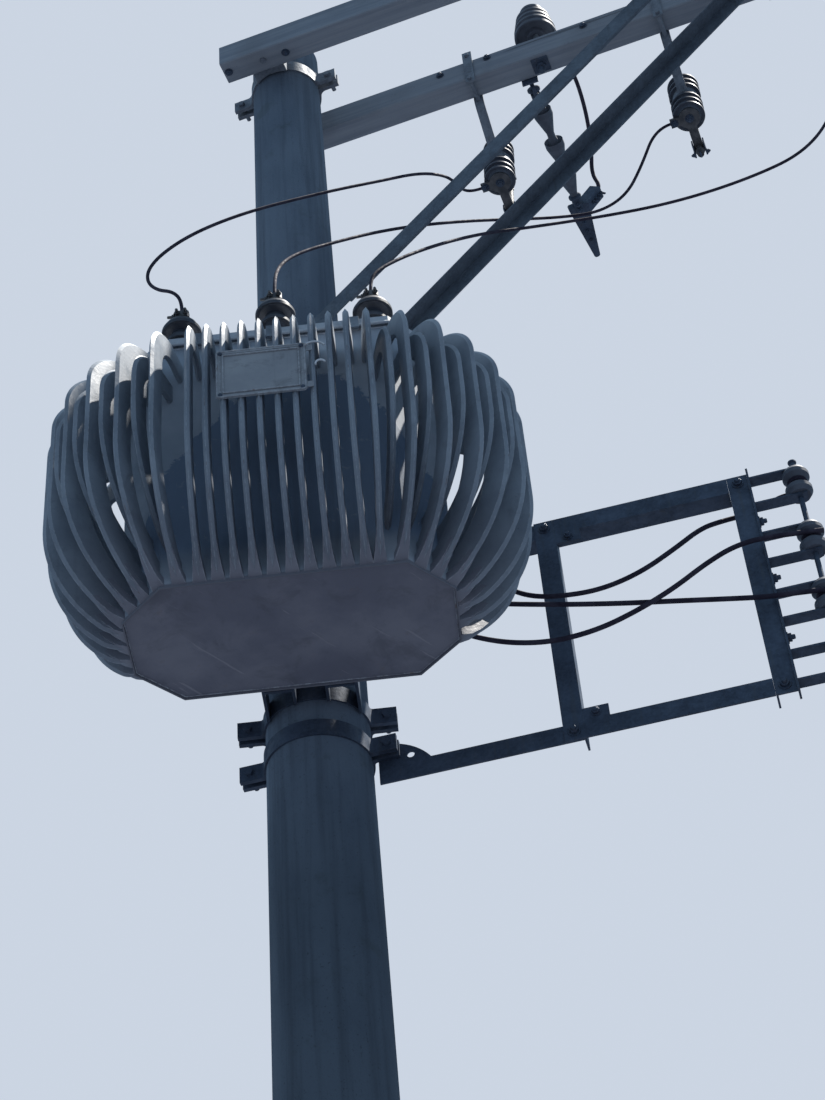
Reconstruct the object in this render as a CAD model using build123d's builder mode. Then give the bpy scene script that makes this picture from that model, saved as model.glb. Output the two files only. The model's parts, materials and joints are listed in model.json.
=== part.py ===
"""Pole mounted distribution transformer with its crossarms, fuse cutouts and secondary rack.

Millimetres, +Z up. The origin is the centre of the pole's foot at ground level. +X runs along
the tank's long side and -Y is the side of the pole that carries the tank.
"""
from build123d import *
import os
from math import cos, pi, radians, sin, sqrt, tan

# Pole: round, tapered concrete
pole_above_arms = 204
pole_foot_diameter = 388
pole_taper = 15 / 1000
pole_cap_bevel = 14

# Crossarms: a pair at the same height, set out to one side of the pole
arm_height = 9196
pole_height = arm_height + pole_above_arms
arm_yaw = 15.4
arm_length = 2400
arm_overhang = 166
arm_width = 92
arm_depth = 113
arm_gap = 326
arm_chamfer = 4
arm_hole = 19
arm_bolt_along = -10
saddle_shelf = 6
saddle_shelf_reach = 74
saddle_width = 122
saddle_height = 96

# Braces under the crossarms: rolled angle
angle_thickness = 6
brace_leg = 58
brace_foot_along = 35
brace_foot_drop = 1648
brace_head_along = 1800
brace_head_drop = 18
brace_cope = 260
brace_pad_width = 110
brace_gauge = 22

# Bands round the pole
band_thickness = 6
band_height = 55
ear_reach = 72
ear_gap = 16
ear_thickness = 14
ear_bolt_place = 43
ear_root_radius = 10
crossarm_ear_root = 26
bolt_diameter = 16
bolt_head = 26
bolt_head_height = 11
bolt_tip = 18
bolt_low_head = 4
seat_clearance = 0.3

# Transformer tank
tank_x = -15
tank_y = -464
tank_floor_height = 5974
tank_length = 894
tank_width = 444
tank_chamfer = 120
tank_height = 990
tank_wall = 4
floor_thickness = 6
floor_recess = 8
cover_thickness = 6
cover_overhang = 16
cover_rim = 26
cover_rim_thickness = 5

# Radiator tubes: flattened, bowed out from the wall
tube_reach = 236
tube_depth = 80
tube_thickness = 15
tube_edge = 9
tube_pitch = 49
tube_top_gap = 98
tube_top = tank_height - tube_top_gap
tube_bottom = 15
tube_belly = 224
tube_foot_inset = 170
tube_top_bend = 137
tube_belly_bend = 475
tube_foot_bend = 85
front_tube_count = 10
fan_centre_x = 230
fan_first_right = 6.7
fan_first_left = 11.5
fan_step = 13.6
fan_tube_count = 9
short_tube_drop = 82
short_tube_lift = 110

# Bare plate on the front tubes
plate_length = 248
plate_height = 195
plate_thickness = 2
plate_x = -16
plate_bottom = 452
plate_border = 12
plate_boss_height = 2
plate_clip_reach = 17
plate_clip_height = 22
plate_clip_thickness = 3

# Clamps that hold the cover down on the tank's rim
cover_clamp_width = 42
cover_clamp_thickness = 8
cover_clamp_hook = 34
cover_clamp_height = 44
cover_clamp_spread = 228

# High voltage bushings on the cover
hv_offsets = (-285, 0, 288)
hv_row_y = -130
hv_middle_forward = 30
hv_height = 200
hv_shed_diameter = 120
hv_core_diameter = 62
hv_lower_shed_diameter = 98
hv_lower_shed_count = 2
hv_hood_height = 58
hv_flange_diameter = 84
hv_flange_height = 18
hv_stud_diameter = 16
hv_stud_height = 46
hv_clamp_length = 44
hv_clamp_width = 26
hv_clamp_height = 24

# Low voltage bushings on the back wall
lv_offsets = (-245, -175, 185, 260)
lv_row_height = 640
lv_length = 88
lv_diameter = 52
lv_stud_diameter = 14
lv_lug_width = 26
lv_lug_height = 46
lv_lug_thickness = 8

# Hangers between the tank and the pole
hanger_heights = (62, 790)
hanger_width = 300
hanger_height = 76
hanger_thickness = 9
hanger_lug_place = 88
hanger_lug_width = 92
hanger_web_place = 34
hanger_band_height = 56

# Fuse cutouts on the far crossarm
cutout_places = (675, 1410, 2145)
cutout_side = 450
cutout_drop = 238
cutout_tilt = 12
cutout_length = 300
cutout_core_diameter = 80
cutout_shed_diameter = 118
cutout_shed_count = 6
cutout_belt = 44
cutout_tube_distance = 128
cutout_tube_diameter = 24
contact_width = 34
contact_thickness = 6
contact_pad_reach = 72
ferrule_share = 1.4
tube_tail = 62
strap_width = 36
strap_thickness = 7
strap_rise = 48
strap_drop = 30
strap_bend = 70

# Pin insulator on the far crossarm
pin_place = 940
pin_diameter = 22
pin_height = 150
pin_insulator_diameter = 162
pin_insulator_rise = 65
pin_skirt_height = 14
pin_rib_pitch = 34
pin_rib_count = 3
pin_neck_share = 0.42
pin_neck_height = 30
pin_head_height = 32

# Strain insulator and its clamp, leaning down a little from the far crossarm
strain_place = 880
strain_level = -50
strain_roll = 8
strain_dip = 6
strain_eye_length = 66
strain_eye_diameter = 52
strain_plate = 62
strain_bar_diameter = 14
strain_core_diameter = 30
strain_shed_diameter = 74
strain_length = 430
strain_shed_count = 3
strain_clevis_length = 60
strain_clevis_width = 36
strain_clevis_height = 44
strain_clamp_length = 280
strain_clamp_thickness = 34
strain_clamp_wide = 84
strain_clamp_narrow = 22
connector_start = 40
connector_reach = 128
connector_width = 48
connector_height = 50

# Offset frame that carries the secondary rack
frame_yaw = 10
frame_leg = 60
frame_top = 6652
frame_bottom = 5800
frame_inner = 690
frame_outer = 1276
frame_cleat_length = 74
frame_cleat_height = 42
frame_band_offset = 45
gusset_start = 8
gusset_length = 150
gusset_flat = 52
gusset_hole = 22

# Secondary rack with spool insulators
rack_channel_width = 46
rack_channel_thickness = 6
rack_pitch = 230
rack_first = 5887
spool_count = 4
spool_diameter = 80
spool_height = 100
spool_reach = 92
rung_overhang = 22
stirrup_thickness = 6
stirrup_width = 38
rack_rod_diameter = 16

# Leads
jumper_diameter = 11
jumper_lead_in = 60
lead_diameter = 15
tap_diameter = 16
tap_lead_in = 30

os.makedirs("parts", exist_ok=True)


def write(part, label):
    """Label a finished piece and write it as its own file."""
    part.label = label
    export_step(part, f"parts/{label}.step")


def pole_radius(height):
    return (pole_foot_diameter - pole_taper * height) / 2


def in_frame(frame, plane):
    """A plane given inside a frame, as a plane of the whole model."""
    return Plane(frame * plane)


def axis_of(frame):
    return Axis(frame.origin, frame.z_dir)


def turned_frame(yaw, height):
    """A level frame through the pole's axis, its X turned towards the tank's side."""
    along = (cos(radians(yaw)), -sin(radians(yaw)), 0)
    return Plane(origin=(0, 0, height), x_dir=along, z_dir=(0, 0, 1))


arm_frame = turned_frame(arm_yaw, arm_height)
rack_frame = turned_frame(frame_yaw, 0)
tank_frame = Plane(origin=(tank_x, tank_y, tank_floor_height))
arm_inner = arm_gap / 2
arm_outer = arm_inner + arm_width

# The braces' top edge runs straight from foot to head; their bolts sit below it by the gauge
brace_run = brace_head_along - brace_foot_along
brace_rise = brace_foot_drop - brace_head_drop
brace_length = sqrt(brace_run**2 + brace_rise**2)
brace_direction = (brace_run / brace_length, 0, brace_rise / brace_length)
brace_normal = (-brace_rise / brace_length, 0, brace_run / brace_length)
gauge_along = brace_gauge * brace_rise / brace_length
gauge_drop = brace_gauge * brace_run / brace_length
head_bolt_along = brace_head_along + gauge_along
head_bolt_drop = brace_head_drop + gauge_drop
foot_bolt_along = brace_foot_along + gauge_along
foot_bolt_drop = brace_foot_drop + gauge_drop


# Pole

with BuildPart() as pole:
    with BuildSketch(Plane.XZ):
        with BuildLine():
            Polyline(
                (0, 0),
                (pole_radius(0), 0),
                (pole_radius(pole_height - pole_cap_bevel), pole_height - pole_cap_bevel),
                (pole_radius(pole_height) - pole_cap_bevel, pole_height),
                (0, pole_height),
                close=True,
            )
        make_face()
    revolve(axis=Axis.Z)
write(pole.part, "pole")


# Crossarms, drilled upright for the saddles' bolts and across for the bolt at the braces' heads

def build_crossarm(side):
    """A timber-sized arm; side is -1 for the tank's side of the pole and 1 for the far side."""
    centre = side * (arm_inner + arm_width / 2)
    with BuildPart() as arm:
        with BuildSketch(in_frame(arm_frame, Plane.YZ.offset(-arm_overhang))):
            with Locations((centre, 0)):
                Rectangle(arm_width, arm_depth)
            chamfer(vertices(), length=arm_chamfer)
        extrude(amount=arm_length)
        with BuildSketch(in_frame(arm_frame, Plane.XZ)):
            with Locations((head_bolt_along, -head_bolt_drop)):
                Circle(arm_hole / 2)
        extrude(amount=arm_gap * 2, both=True, mode=Mode.SUBTRACT)
        with BuildSketch(arm_frame):
            with Locations((arm_bolt_along, centre)):
                Circle(arm_hole / 2)
        extrude(amount=arm_depth, both=True, mode=Mode.SUBTRACT)
    return arm.part


write(build_crossarm(-1), "crossarm_front")
write(build_crossarm(1), "crossarm_back")


def band_outer_radius(height):
    return pole_radius(height) + seat_clearance + band_thickness


def build_band(frame, height, grip=0.0, root=ear_root_radius):
    """Two half bands bolted at their ears; the bolt on the right also takes a bar of thickness grip."""
    outer = band_outer_radius(frame.origin.Z)
    ear_face = ear_gap / 2 + ear_thickness
    with BuildPart() as band:
        with BuildSketch(frame.offset(-height / 2)):
            Circle(outer)
            Rectangle(2 * (outer + ear_reach), 2 * ear_face)
            fillet(vertices().sort_by_distance((0, 0, 0))[:4], radius=root)
            Circle(outer - band_thickness, mode=Mode.SUBTRACT)
            Rectangle(2 * (outer + ear_reach) + 1, ear_gap, mode=Mode.SUBTRACT)
        extrude(amount=height)
        for end, back in ((-1, ear_face), (1, ear_face + grip)):
            place = (end * (outer + ear_bolt_place), 0)
            with BuildSketch(in_frame(frame, Plane.XZ.offset(ear_face + bolt_head_height))):
                with Locations(place):
                    Circle(bolt_diameter / 2)
            extrude(amount=-(ear_face + back + 2 * bolt_head_height + bolt_tip))
            for face, reach in ((ear_face, bolt_head_height), (-back, -bolt_head_height)):
                with BuildSketch(in_frame(frame, Plane.XZ.offset(face))):
                    with Locations(place):
                        RegularPolygon(bolt_head / 2, 6)
                extrude(amount=reach)
    return band.part


write(build_band(arm_frame, band_height, root=crossarm_ear_root), "crossarm_band")


def build_saddle(side):
    """Block between the pole's band and one crossarm, with a shelf over the arm for its bolt."""
    height = arm_depth / 2 + seat_clearance
    inner = side * (arm_inner - seat_clearance) / 2
    shelf_end = arm_inner + saddle_shelf_reach
    with BuildPart() as saddle:
        with BuildSketch(arm_frame.offset(height)):
            with Locations((arm_bolt_along, inner)):
                Rectangle(saddle_width, 2 * abs(inner))
            Circle(band_outer_radius(arm_height) + seat_clearance, mode=Mode.SUBTRACT)
        extrude(amount=-saddle_height)
        with BuildSketch(arm_frame.offset(height)):
            with Locations((arm_bolt_along, side * shelf_end / 2)):
                Rectangle(saddle_width, shelf_end)
            Circle(band_outer_radius(arm_height) + seat_clearance, mode=Mode.SUBTRACT)
            with Locations((arm_bolt_along, side * (arm_inner + arm_width / 2))):
                Circle(arm_hole / 2, mode=Mode.SUBTRACT)
        extrude(amount=saddle_shelf)
    return saddle.part


write(Part() + [build_saddle(-1), build_saddle(1)], "crossarm_saddles")


def build_bolt(plane, place, length, head_height):
    """A bolt along a plane's normal: head at the plane, nut and a short tip at the far end."""
    with BuildPart() as bolt:
        with BuildSketch(plane):
            with Locations(place):
                Circle(bolt_diameter / 2)
        extrude(amount=length + bolt_head_height + bolt_tip)
        for face, reach in ((0, -head_height), (length, bolt_head_height)):
            with BuildSketch(plane.offset(face)):
                with Locations(place):
                    RegularPolygon(bolt_head / 2, 6)
            extrude(amount=reach)
    return bolt.part


bolt_side = arm_outer + seat_clearance
across_arms = in_frame(arm_frame, Plane(origin=(0, -bolt_side, 0), x_dir=(1, 0, 0), z_dir=(0, 1, 0)))
head_bolt = (head_bolt_along, head_bolt_drop)
crossarm_bolts = [build_bolt(across_arms, head_bolt, 2 * bolt_side, bolt_head_height)]
arm_bottom = arm_frame.offset(-arm_depth / 2 - seat_clearance)
for side in (-1, 1):
    place = (arm_bolt_along, side * (arm_inner + arm_width / 2))
    grip = arm_depth + saddle_shelf + 3 * seat_clearance
    crossarm_bolts.append(build_bolt(arm_bottom, place, grip, bolt_low_head))
write(Part() + crossarm_bolts, "crossarm_bolts")


# Braces

def brace_frame(side):
    """Frame at the foot of a brace: X up along it, Y across the arms, Z square to its top leg."""
    foot = (brace_foot_along, side * arm_inner, -brace_foot_drop)
    local = Plane(origin=foot, x_dir=brace_direction, z_dir=brace_normal)
    return in_frame(arm_frame, local)


def build_brace(side):
    """Rolled angle with its top leg turned inwards; that leg is cut back where the pole stands."""
    frame = brace_frame(side)
    inward = -side
    end_margin = brace_leg / 2
    with BuildPart() as brace:
        with BuildSketch(in_frame(frame, Plane.XZ)):
            with Locations((brace_length / 2, -brace_leg / 2)):
                Rectangle(brace_length + 2 * end_margin, brace_leg)
            chamfer(vertices(), length=brace_leg * 0.22)
            with Locations((0, -brace_gauge), (brace_length, -brace_gauge)):
                Circle(bolt_diameter / 2 + 1, mode=Mode.SUBTRACT)
        extrude(amount=-inward * angle_thickness)
        with BuildSketch(in_frame(frame, Plane.XY)):
            with Locations(((brace_length + brace_cope) / 2, inward * brace_leg / 2)):
                Rectangle(brace_length - brace_cope, brace_leg)
        extrude(amount=-angle_thickness)
    return brace.part


write(build_brace(-1), "brace_front")
write(build_brace(1), "brace_back")

brace_band_frame = turned_frame(arm_yaw, arm_height - foot_bolt_drop)
brace_seat = arm_inner - angle_thickness - seat_clearance
with BuildPart() as brace_band:
    add(build_band(brace_band_frame, band_height))
    with BuildSketch(brace_band_frame.offset(-band_height / 2)):
        with Locations((foot_bolt_along, 0)):
            Rectangle(brace_pad_width, 2 * brace_seat)
        Circle(band_outer_radius(brace_band_frame.origin.Z) - band_thickness, mode=Mode.SUBTRACT)
    extrude(amount=band_height)
    for side in (-1, 1):
        seat_plane = in_frame(brace_band_frame, Plane.XZ.offset(-side * brace_seat))
        with BuildSketch(seat_plane):
            with Locations((foot_bolt_along, 0)):
                Circle(bolt_diameter / 2)
        extrude(amount=-side * (angle_thickness + bolt_head_height + bolt_tip))
        with BuildSketch(seat_plane.offset(-side * (angle_thickness + 2 * seat_clearance))):
            with Locations((foot_bolt_along, 0)):
                RegularPolygon(bolt_head / 2, 6)
        extrude(amount=-side * bolt_head_height)
write(brace_band.part, "brace_band")


# Tank: an octagon in plan, closed by a floor and a cover of their own

def octagon(grow=0.0):
    """The tank's plan, grown or shrunk evenly; drawn into the open sketch."""
    Rectangle(tank_length + 2 * grow, tank_width + 2 * grow)
    corner = tank_chamfer + grow * (2 - sqrt(2))
    chamfer(vertices(), length=corner)


with BuildPart() as tank_body:
    with BuildSketch(tank_frame):
        octagon()
    extrude(amount=tank_height)
    with BuildSketch(tank_frame):
        octagon(-tank_wall)
    extrude(amount=tank_height, mode=Mode.SUBTRACT)
write(tank_body.part, "tank_wall")

with BuildPart() as tank_floor:
    with BuildSketch(tank_frame.offset(floor_recess)):
        octagon(-tank_wall - seat_clearance)
    extrude(amount=floor_thickness)
write(tank_floor.part, "tank_floor")

with BuildPart() as tank_cover:
    with BuildSketch(tank_frame.offset(tank_height)):
        octagon(cover_overhang)
    extrude(amount=cover_thickness)
    with BuildSketch(tank_frame.offset(tank_height + cover_thickness - cover_rim)):
        octagon(cover_overhang)
    extrude(amount=cover_rim)
    with BuildSketch(tank_frame.offset(tank_height + cover_thickness - cover_rim)):
        octagon(cover_overhang - cover_rim_thickness)
    extrude(amount=cover_rim - cover_thickness, mode=Mode.SUBTRACT)
write(tank_cover.part, "tank_cover")


# Radiator tubes

def tube_frame(centre_x, angle):
    """Upright frame of one tube: X out of the tank, Y up; angle is measured from straight ahead."""
    outward = (sin(radians(angle)), -cos(radians(angle)), 0)
    side = (-outward[1], outward[0], 0)
    return in_frame(tank_frame, Plane(origin=(centre_x, 0, 0), x_dir=outward, z_dir=(-side[0], -side[1], 0)))


def build_tube(centre_x, angle, drop=0.0, lift=0.0):
    """One flattened tube bowed out of the wall; both ends are cut flush with the tank's face.

    A short tube leaves the wall lower by its drop and comes back to it higher by its lift.
    """
    frame = tube_frame(centre_x, angle)
    middle = tank_width / 2 + tube_reach - tube_depth / 2
    top = tube_top - drop - tube_depth / 2
    bottom = tube_bottom + lift + tube_depth / 2
    start = tank_width / 4
    with BuildPart() as tube:
        with BuildLine(frame) as path:
            FilletPolyline(
                (start, top),
                (middle, top),
                (middle, tube_belly + lift),
                (middle - tube_foot_inset, bottom),
                (start, bottom),
                radius=(tube_top_bend, tube_belly_bend, tube_foot_bend),
            )
        with BuildSketch(in_frame(frame, Plane.YZ.offset(start))):
            with BuildLine():
                Polyline(
                    (top - tube_depth / 2, 0),
                    (top - tube_depth / 2 + tube_edge, -tube_thickness / 2),
                    (top + tube_depth / 2 - tube_edge, -tube_thickness / 2),
                    (top + tube_depth / 2, 0),
                    (top + tube_depth / 2 - tube_edge, tube_thickness / 2),
                    (top - tube_depth / 2 + tube_edge, tube_thickness / 2),
                    close=True,
                )
            make_face()
        sweep(path=path.line)
        with BuildSketch(tank_frame):
            octagon()
        extrude(amount=tank_height, mode=Mode.SUBTRACT)
    return tube.part


def build_fan(side, first_angle):
    """Tubes fanned round one end of the tank, with a short tube between each two."""
    centre_x = side * fan_centre_x
    fan = []
    for i in range(fan_tube_count):
        angle = side * (first_angle + i * fan_step)
        fan.append(build_tube(centre_x, angle))
    for i in range(fan_tube_count - 1):
        angle = side * (first_angle + (i + 0.5) * fan_step)
        fan.append(build_tube(centre_x, angle, short_tube_drop, short_tube_lift))
    return Part() + fan


first_tube = -(front_tube_count - 1) / 2 * tube_pitch
front_tubes = [build_tube(first_tube + i * tube_pitch, 0) for i in range(front_tube_count)]
write(Part() + front_tubes, "front_tubes")
write(build_fan(1, fan_first_right), "right_tubes")
write(build_fan(-1, fan_first_left), "left_tubes")


# Bare plate, fixed to the front tubes

plate_plane = in_frame(tank_frame, Plane.XZ.offset(tank_width / 2 + tube_reach + seat_clearance))
with BuildPart() as name_plate:
    with BuildSketch(plate_plane):
        with Locations((plate_x, plate_bottom + plate_height / 2)):
            Rectangle(plate_length, plate_height)
        chamfer(vertices(), length=plate_border / 2)
    extrude(amount=plate_thickness)
    with BuildSketch(plate_plane.offset(plate_thickness)):
        with Locations((plate_x, plate_bottom + plate_height / 2)):
            Rectangle(plate_length - plate_border, plate_height - plate_border)
            Rectangle(plate_length - 2 * plate_border, plate_height - 2 * plate_border, mode=Mode.SUBTRACT)
    extrude(amount=plate_boss_height)
    for height in (plate_bottom + plate_clip_height, plate_bottom + plate_height - plate_clip_height):
        with BuildSketch(plate_plane):
            with Locations((plate_x + (plate_length + plate_clip_reach) / 2, height)):
                Rectangle(plate_clip_reach, plate_clip_height)
        extrude(amount=plate_clip_thickness)
write(name_plate.part, "name_plate")


# Cover clamps

def build_cover_clamp(middle, outward):
    """Hook over the cover's edge with its bolt; middle is on the edge and outward points off the tank."""
    edge = in_frame(tank_frame, Plane(origin=(*middle, tank_height), x_dir=outward, z_dir=(0, 0, 1)))
    top = cover_thickness + seat_clearance
    inner = -cover_clamp_hook
    outer = seat_clearance + cover_clamp_thickness
    with BuildPart() as clamp:
        with BuildSketch(in_frame(edge, Plane.XZ.offset(-cover_clamp_width / 2))):
            with BuildLine():
                Polyline(
                    (inner, top),
                    (seat_clearance, top),
                    (seat_clearance, top - cover_clamp_height),
                    (outer, top - cover_clamp_height),
                    (outer, top + cover_clamp_thickness),
                    (inner, top + cover_clamp_thickness),
                    close=True,
                )
            make_face()
            chamfer(vertices().sort_by(Axis.Y)[-2:].sort_by(Axis.X)[-1], length=cover_clamp_thickness * 0.6)
        extrude(amount=cover_clamp_width)
        with BuildSketch(edge.offset(top + cover_clamp_thickness)):
            with Locations((inner / 2, 0)):
                RegularPolygon(bolt_head / 2, 6)
        extrude(amount=bolt_head_height)
    return clamp.part


cover_side = tank_width / 2 + cover_overhang
cover_end = tank_length / 2 + cover_overhang
cover_clamps = [
    build_cover_clamp((cover_end, 0), (1, 0, 0)),
    build_cover_clamp((-cover_end, 0), (-1, 0, 0)),
]
for i in (-1, 0, 1):
    cover_clamps.append(build_cover_clamp((i * cover_clamp_spread, -cover_side), (0, -1, 0)))
    cover_clamps.append(build_cover_clamp((i * cover_clamp_spread, cover_side), (0, 1, 0)))
write(Part() + cover_clamps, "cover_clamps")


# High voltage bushings

def shed_points(core, shed, bottom, length, count):
    """Radius and height of a stack of drooping sheds on a straight core."""
    pitch = length / count
    points = []
    for i in range(count):
        base = bottom + i * pitch
        points.append((core, base))
        points.append((core + (shed - core) * 0.35, base + pitch * 0.22))
        points.append((shed, base + pitch * 0.12))
        points.append((shed, base + pitch * 0.3))
        points.append((core, base + pitch * 0.85))
    points.append((core, bottom + length))
    return points


def revolve_stack(frame, points):
    """Solid of revolution about a frame's Z from an outline of radii and heights."""
    with BuildPart() as stack:
        with BuildSketch(in_frame(frame, Plane.XZ)):
            with BuildLine():
                Polyline((0, points[0][1]), *points, (0, points[-1][1]), close=True)
            make_face()
        revolve(axis=axis_of(frame))
    return stack.part


def hv_place(offset):
    """Middle of a bushing on the cover; the middle one of the row stands forward."""
    forward = hv_middle_forward if offset == 0 else 0
    return (offset, hv_row_y - forward)


def build_hv_bushing(offset):
    """Porcelain with a flange at its foot, drooping sheds and a wide hood at its head."""
    base = in_frame(tank_frame, Plane(origin=(*hv_place(offset), tank_height + cover_thickness)))
    core = hv_core_diameter / 2
    hood = hv_shed_diameter / 2
    hood_foot = hv_height - hv_hood_height
    outline = [(hv_flange_diameter / 2, 0), (hv_flange_diameter / 2, hv_flange_height)]
    lower_length = hood_foot - hv_flange_height
    lower_shed = hv_lower_shed_diameter / 2
    outline += shed_points(core, lower_shed, hv_flange_height, lower_length, hv_lower_shed_count)
    outline += [(hood * 0.8, hood_foot + hv_hood_height * 0.1), (hood, hood_foot)]
    outline += [(hood, hood_foot + hv_hood_height * 0.2), (hood * 0.84, hood_foot + hv_hood_height * 0.55)]
    outline += [(hood * 0.5, hood_foot + hv_hood_height * 0.85), (hood * 0.4, hv_height)]
    return revolve_stack(base, outline)


def build_hv_terminal(offset):
    """Cap and stud on top of one bushing, with the block that clamps the lead."""
    base = in_frame(tank_frame, Plane(origin=(*hv_place(offset), tank_height + cover_thickness + hv_height)))
    cap = hv_shed_diameter / 2 * 0.4
    stud = hv_stud_diameter / 2
    with BuildPart() as terminal:
        add(revolve_stack(base, [(cap, 0), (cap, 6), (stud, 10), (stud, hv_stud_height)]))
        with BuildSketch(base.offset(hv_stud_height - hv_clamp_height)):
            Rectangle(hv_clamp_length, hv_clamp_width)
            chamfer(vertices(), length=hv_clamp_width / 5)
        extrude(amount=hv_clamp_height)
    return terminal.part


write(Part() + [build_hv_bushing(x) for x in hv_offsets], "hv_bushings")
write(Part() + [build_hv_terminal(x) for x in hv_offsets], "hv_terminals")


# Low voltage bushings on the back wall, their lugs hanging down

def build_lv_bushing(offset):
    base = in_frame(tank_frame, Plane(origin=(offset, tank_width / 2, lv_row_height), z_dir=(0, 1, 0)))
    r = lv_diameter / 2
    outline = [(r, 0), (r, 14), (r * 0.7, 18), (r * 0.7, 30), (r, 34), (r * 0.9, 44), (r * 0.6, 52)]
    stud = lv_stud_diameter / 2
    outline += [(r * 0.6, lv_length - 8), (stud, lv_length - 8), (stud, lv_length)]
    return revolve_stack(base, outline)


def build_lv_lug(offset):
    """Flat lug on the stud, with a barrel for the lead below it."""
    back = tank_width / 2 + lv_length
    plane = in_frame(tank_frame, Plane.XZ.offset(-back))
    with BuildPart() as lug:
        with BuildSketch(plane):
            with Locations((offset, lv_row_height - lv_lug_height / 2 + lv_lug_width / 2)):
                Rectangle(lv_lug_width, lv_lug_height)
            chamfer(vertices(), length=5)
        extrude(amount=-lv_lug_thickness)
    return lug.part


write(Part() + [build_lv_bushing(x) for x in lv_offsets], "lv_bushings")
write(Part() + [build_lv_lug(x) for x in lv_offsets], "lv_terminals")


# Hangers: a channel welded to the back wall and a band round the pole

def build_hanger(height):
    """Backing angle on the tank's wall with two channel lugs, hollowed to the pole's band."""
    back = tank_width / 2
    band_radius = band_outer_radius(tank_floor_height + height) + seat_clearance
    level = in_frame(tank_frame, Plane.XY.offset(height - hanger_height / 2))
    pole_axis = (-tank_x, -tank_y)
    reach = -tank_y - back
    with BuildPart() as hanger:
        with BuildSketch(level):
            with Locations((-tank_x, back + hanger_thickness / 2)):
                Rectangle(hanger_width, hanger_thickness)
            for side in (-1, 1):
                for edge in (-1, 1):
                    plate_x = side * hanger_lug_place + edge * (hanger_lug_width - hanger_thickness) / 2
                    with Locations((-tank_x + plate_x, back + reach / 2)):
                        Rectangle(hanger_thickness, reach)
                with Locations((-tank_x + side * hanger_lug_place, back + hanger_web_place)):
                    Rectangle(hanger_lug_width, hanger_thickness)
            with Locations(pole_axis):
                Circle(band_radius, mode=Mode.SUBTRACT)
        extrude(amount=hanger_height)
    return hanger.part


write(build_hanger(hanger_heights[0]), "hanger_lower")
write(build_hanger(hanger_heights[1]), "hanger_upper")

for name, height in (("pole_band_lower", hanger_heights[0]), ("pole_band_upper", hanger_heights[1])):
    write(build_band(Plane(origin=(0, 0, tank_floor_height + height)), hanger_band_height), name)


# Fuse cutouts

def cutout_frame(place):
    """Frame at the middle of a cutout's porcelain: Z up along it, leaning away from the arm."""
    local = Plane(origin=(place, cutout_side, -cutout_drop)).rotated((-cutout_tilt, 0, 0))
    return in_frame(arm_frame, local)


def build_cutout_insulator(place):
    """Porcelain with a stack of sheds above and below a plain belt."""
    half = cutout_length / 2
    stack = half - cutout_belt / 2
    core = cutout_core_diameter / 2
    shed = cutout_shed_diameter / 2
    count = cutout_shed_count // 2
    points = shed_points(core, shed, -half, stack, count)
    points += shed_points(core, shed, cutout_belt / 2, stack, count)
    return revolve_stack(cutout_frame(place), points)


def build_cutout_contacts(place):
    """Upper and lower contact arms, the lower one bored for the fuse tube, with a pad for the lead."""
    frame = cutout_frame(place)
    half = cutout_length / 2 + seat_clearance
    ferrule = cutout_tube_diameter * ferrule_share / 2
    with BuildPart() as contacts:
        for end in (-1, 1):
            with BuildSketch(in_frame(frame, Plane.XY.offset(end * half))):
                Circle(cutout_core_diameter / 2)
                with Locations((0, cutout_tube_distance / 2)):
                    Rectangle(contact_width, cutout_tube_distance)
                with Locations((0, cutout_tube_distance)):
                    Circle(ferrule + contact_thickness)
                    if end < 0:
                        Circle(ferrule + seat_clearance, mode=Mode.SUBTRACT)
                        with Locations((-contact_pad_reach / 2, -cutout_tube_distance)):
                            Rectangle(contact_pad_reach, contact_width)
            extrude(amount=end * contact_thickness * 2)
    return contacts.part


def build_cutout_tube(place):
    """Fuse tube through the lower contact and up against the upper one, with its ferrules."""
    frame = cutout_frame(place)
    half = cutout_length / 2
    local = in_frame(frame, Plane(origin=(0, cutout_tube_distance, 0)))
    tube = cutout_tube_diameter / 2
    ferrule = tube * ferrule_share
    low = -half - tube_tail
    outline = [(tube, low), (tube, low + 20), (ferrule, low + 26), (ferrule, -half + 30), (tube, -half + 34)]
    outline += [(tube, half - 50), (ferrule, half - 46), (ferrule, half)]
    return revolve_stack(local, outline)


def build_cutout_bracket(place):
    """Strap clamped over the far crossarm; its foot swings out to a ring round the porcelain."""
    plane = in_frame(arm_frame, Plane.YZ.offset(place - strap_width / 2))
    top = arm_depth / 2
    front = arm_inner - strap_thickness - seat_clearance
    back = arm_outer + seat_clearance
    ring = cutout_core_diameter / 2 + seat_clearance
    ring_side = cutout_side - ring - strap_thickness / 2
    with BuildPart() as bracket:
        with BuildSketch(plane):
            with Locations((front + strap_thickness / 2, (strap_rise - strap_drop) / 2)):
                Rectangle(strap_thickness, arm_depth + strap_rise + strap_drop)
        extrude(amount=strap_width)
        with BuildSketch(plane):
            with BuildLine():
                foot = FilletPolyline(
                    (back, top + strap_rise),
                    (back, -top - strap_drop),
                    (ring_side, -cutout_drop),
                    radius=strap_bend,
                )
                offset(foot, amount=strap_thickness, side=Side.LEFT)
            make_face()
        extrude(amount=strap_width)
        for height in (top + strap_rise / 2, -top - strap_drop / 2):
            with BuildSketch(in_frame(arm_frame, Plane.XZ.offset(-front + bolt_head_height))):
                with Locations((place, height)):
                    Circle(bolt_diameter / 2)
            extrude(amount=-(back - front + strap_thickness + 2 * bolt_head_height))
        with BuildSketch(cutout_frame(place)):
            Circle(ring + strap_thickness)
        extrude(amount=strap_width / 2, both=True)
        with BuildSketch(cutout_frame(place)):
            Circle(ring)
        extrude(amount=cutout_length / 2, both=True, mode=Mode.SUBTRACT)
    return bracket.part


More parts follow.
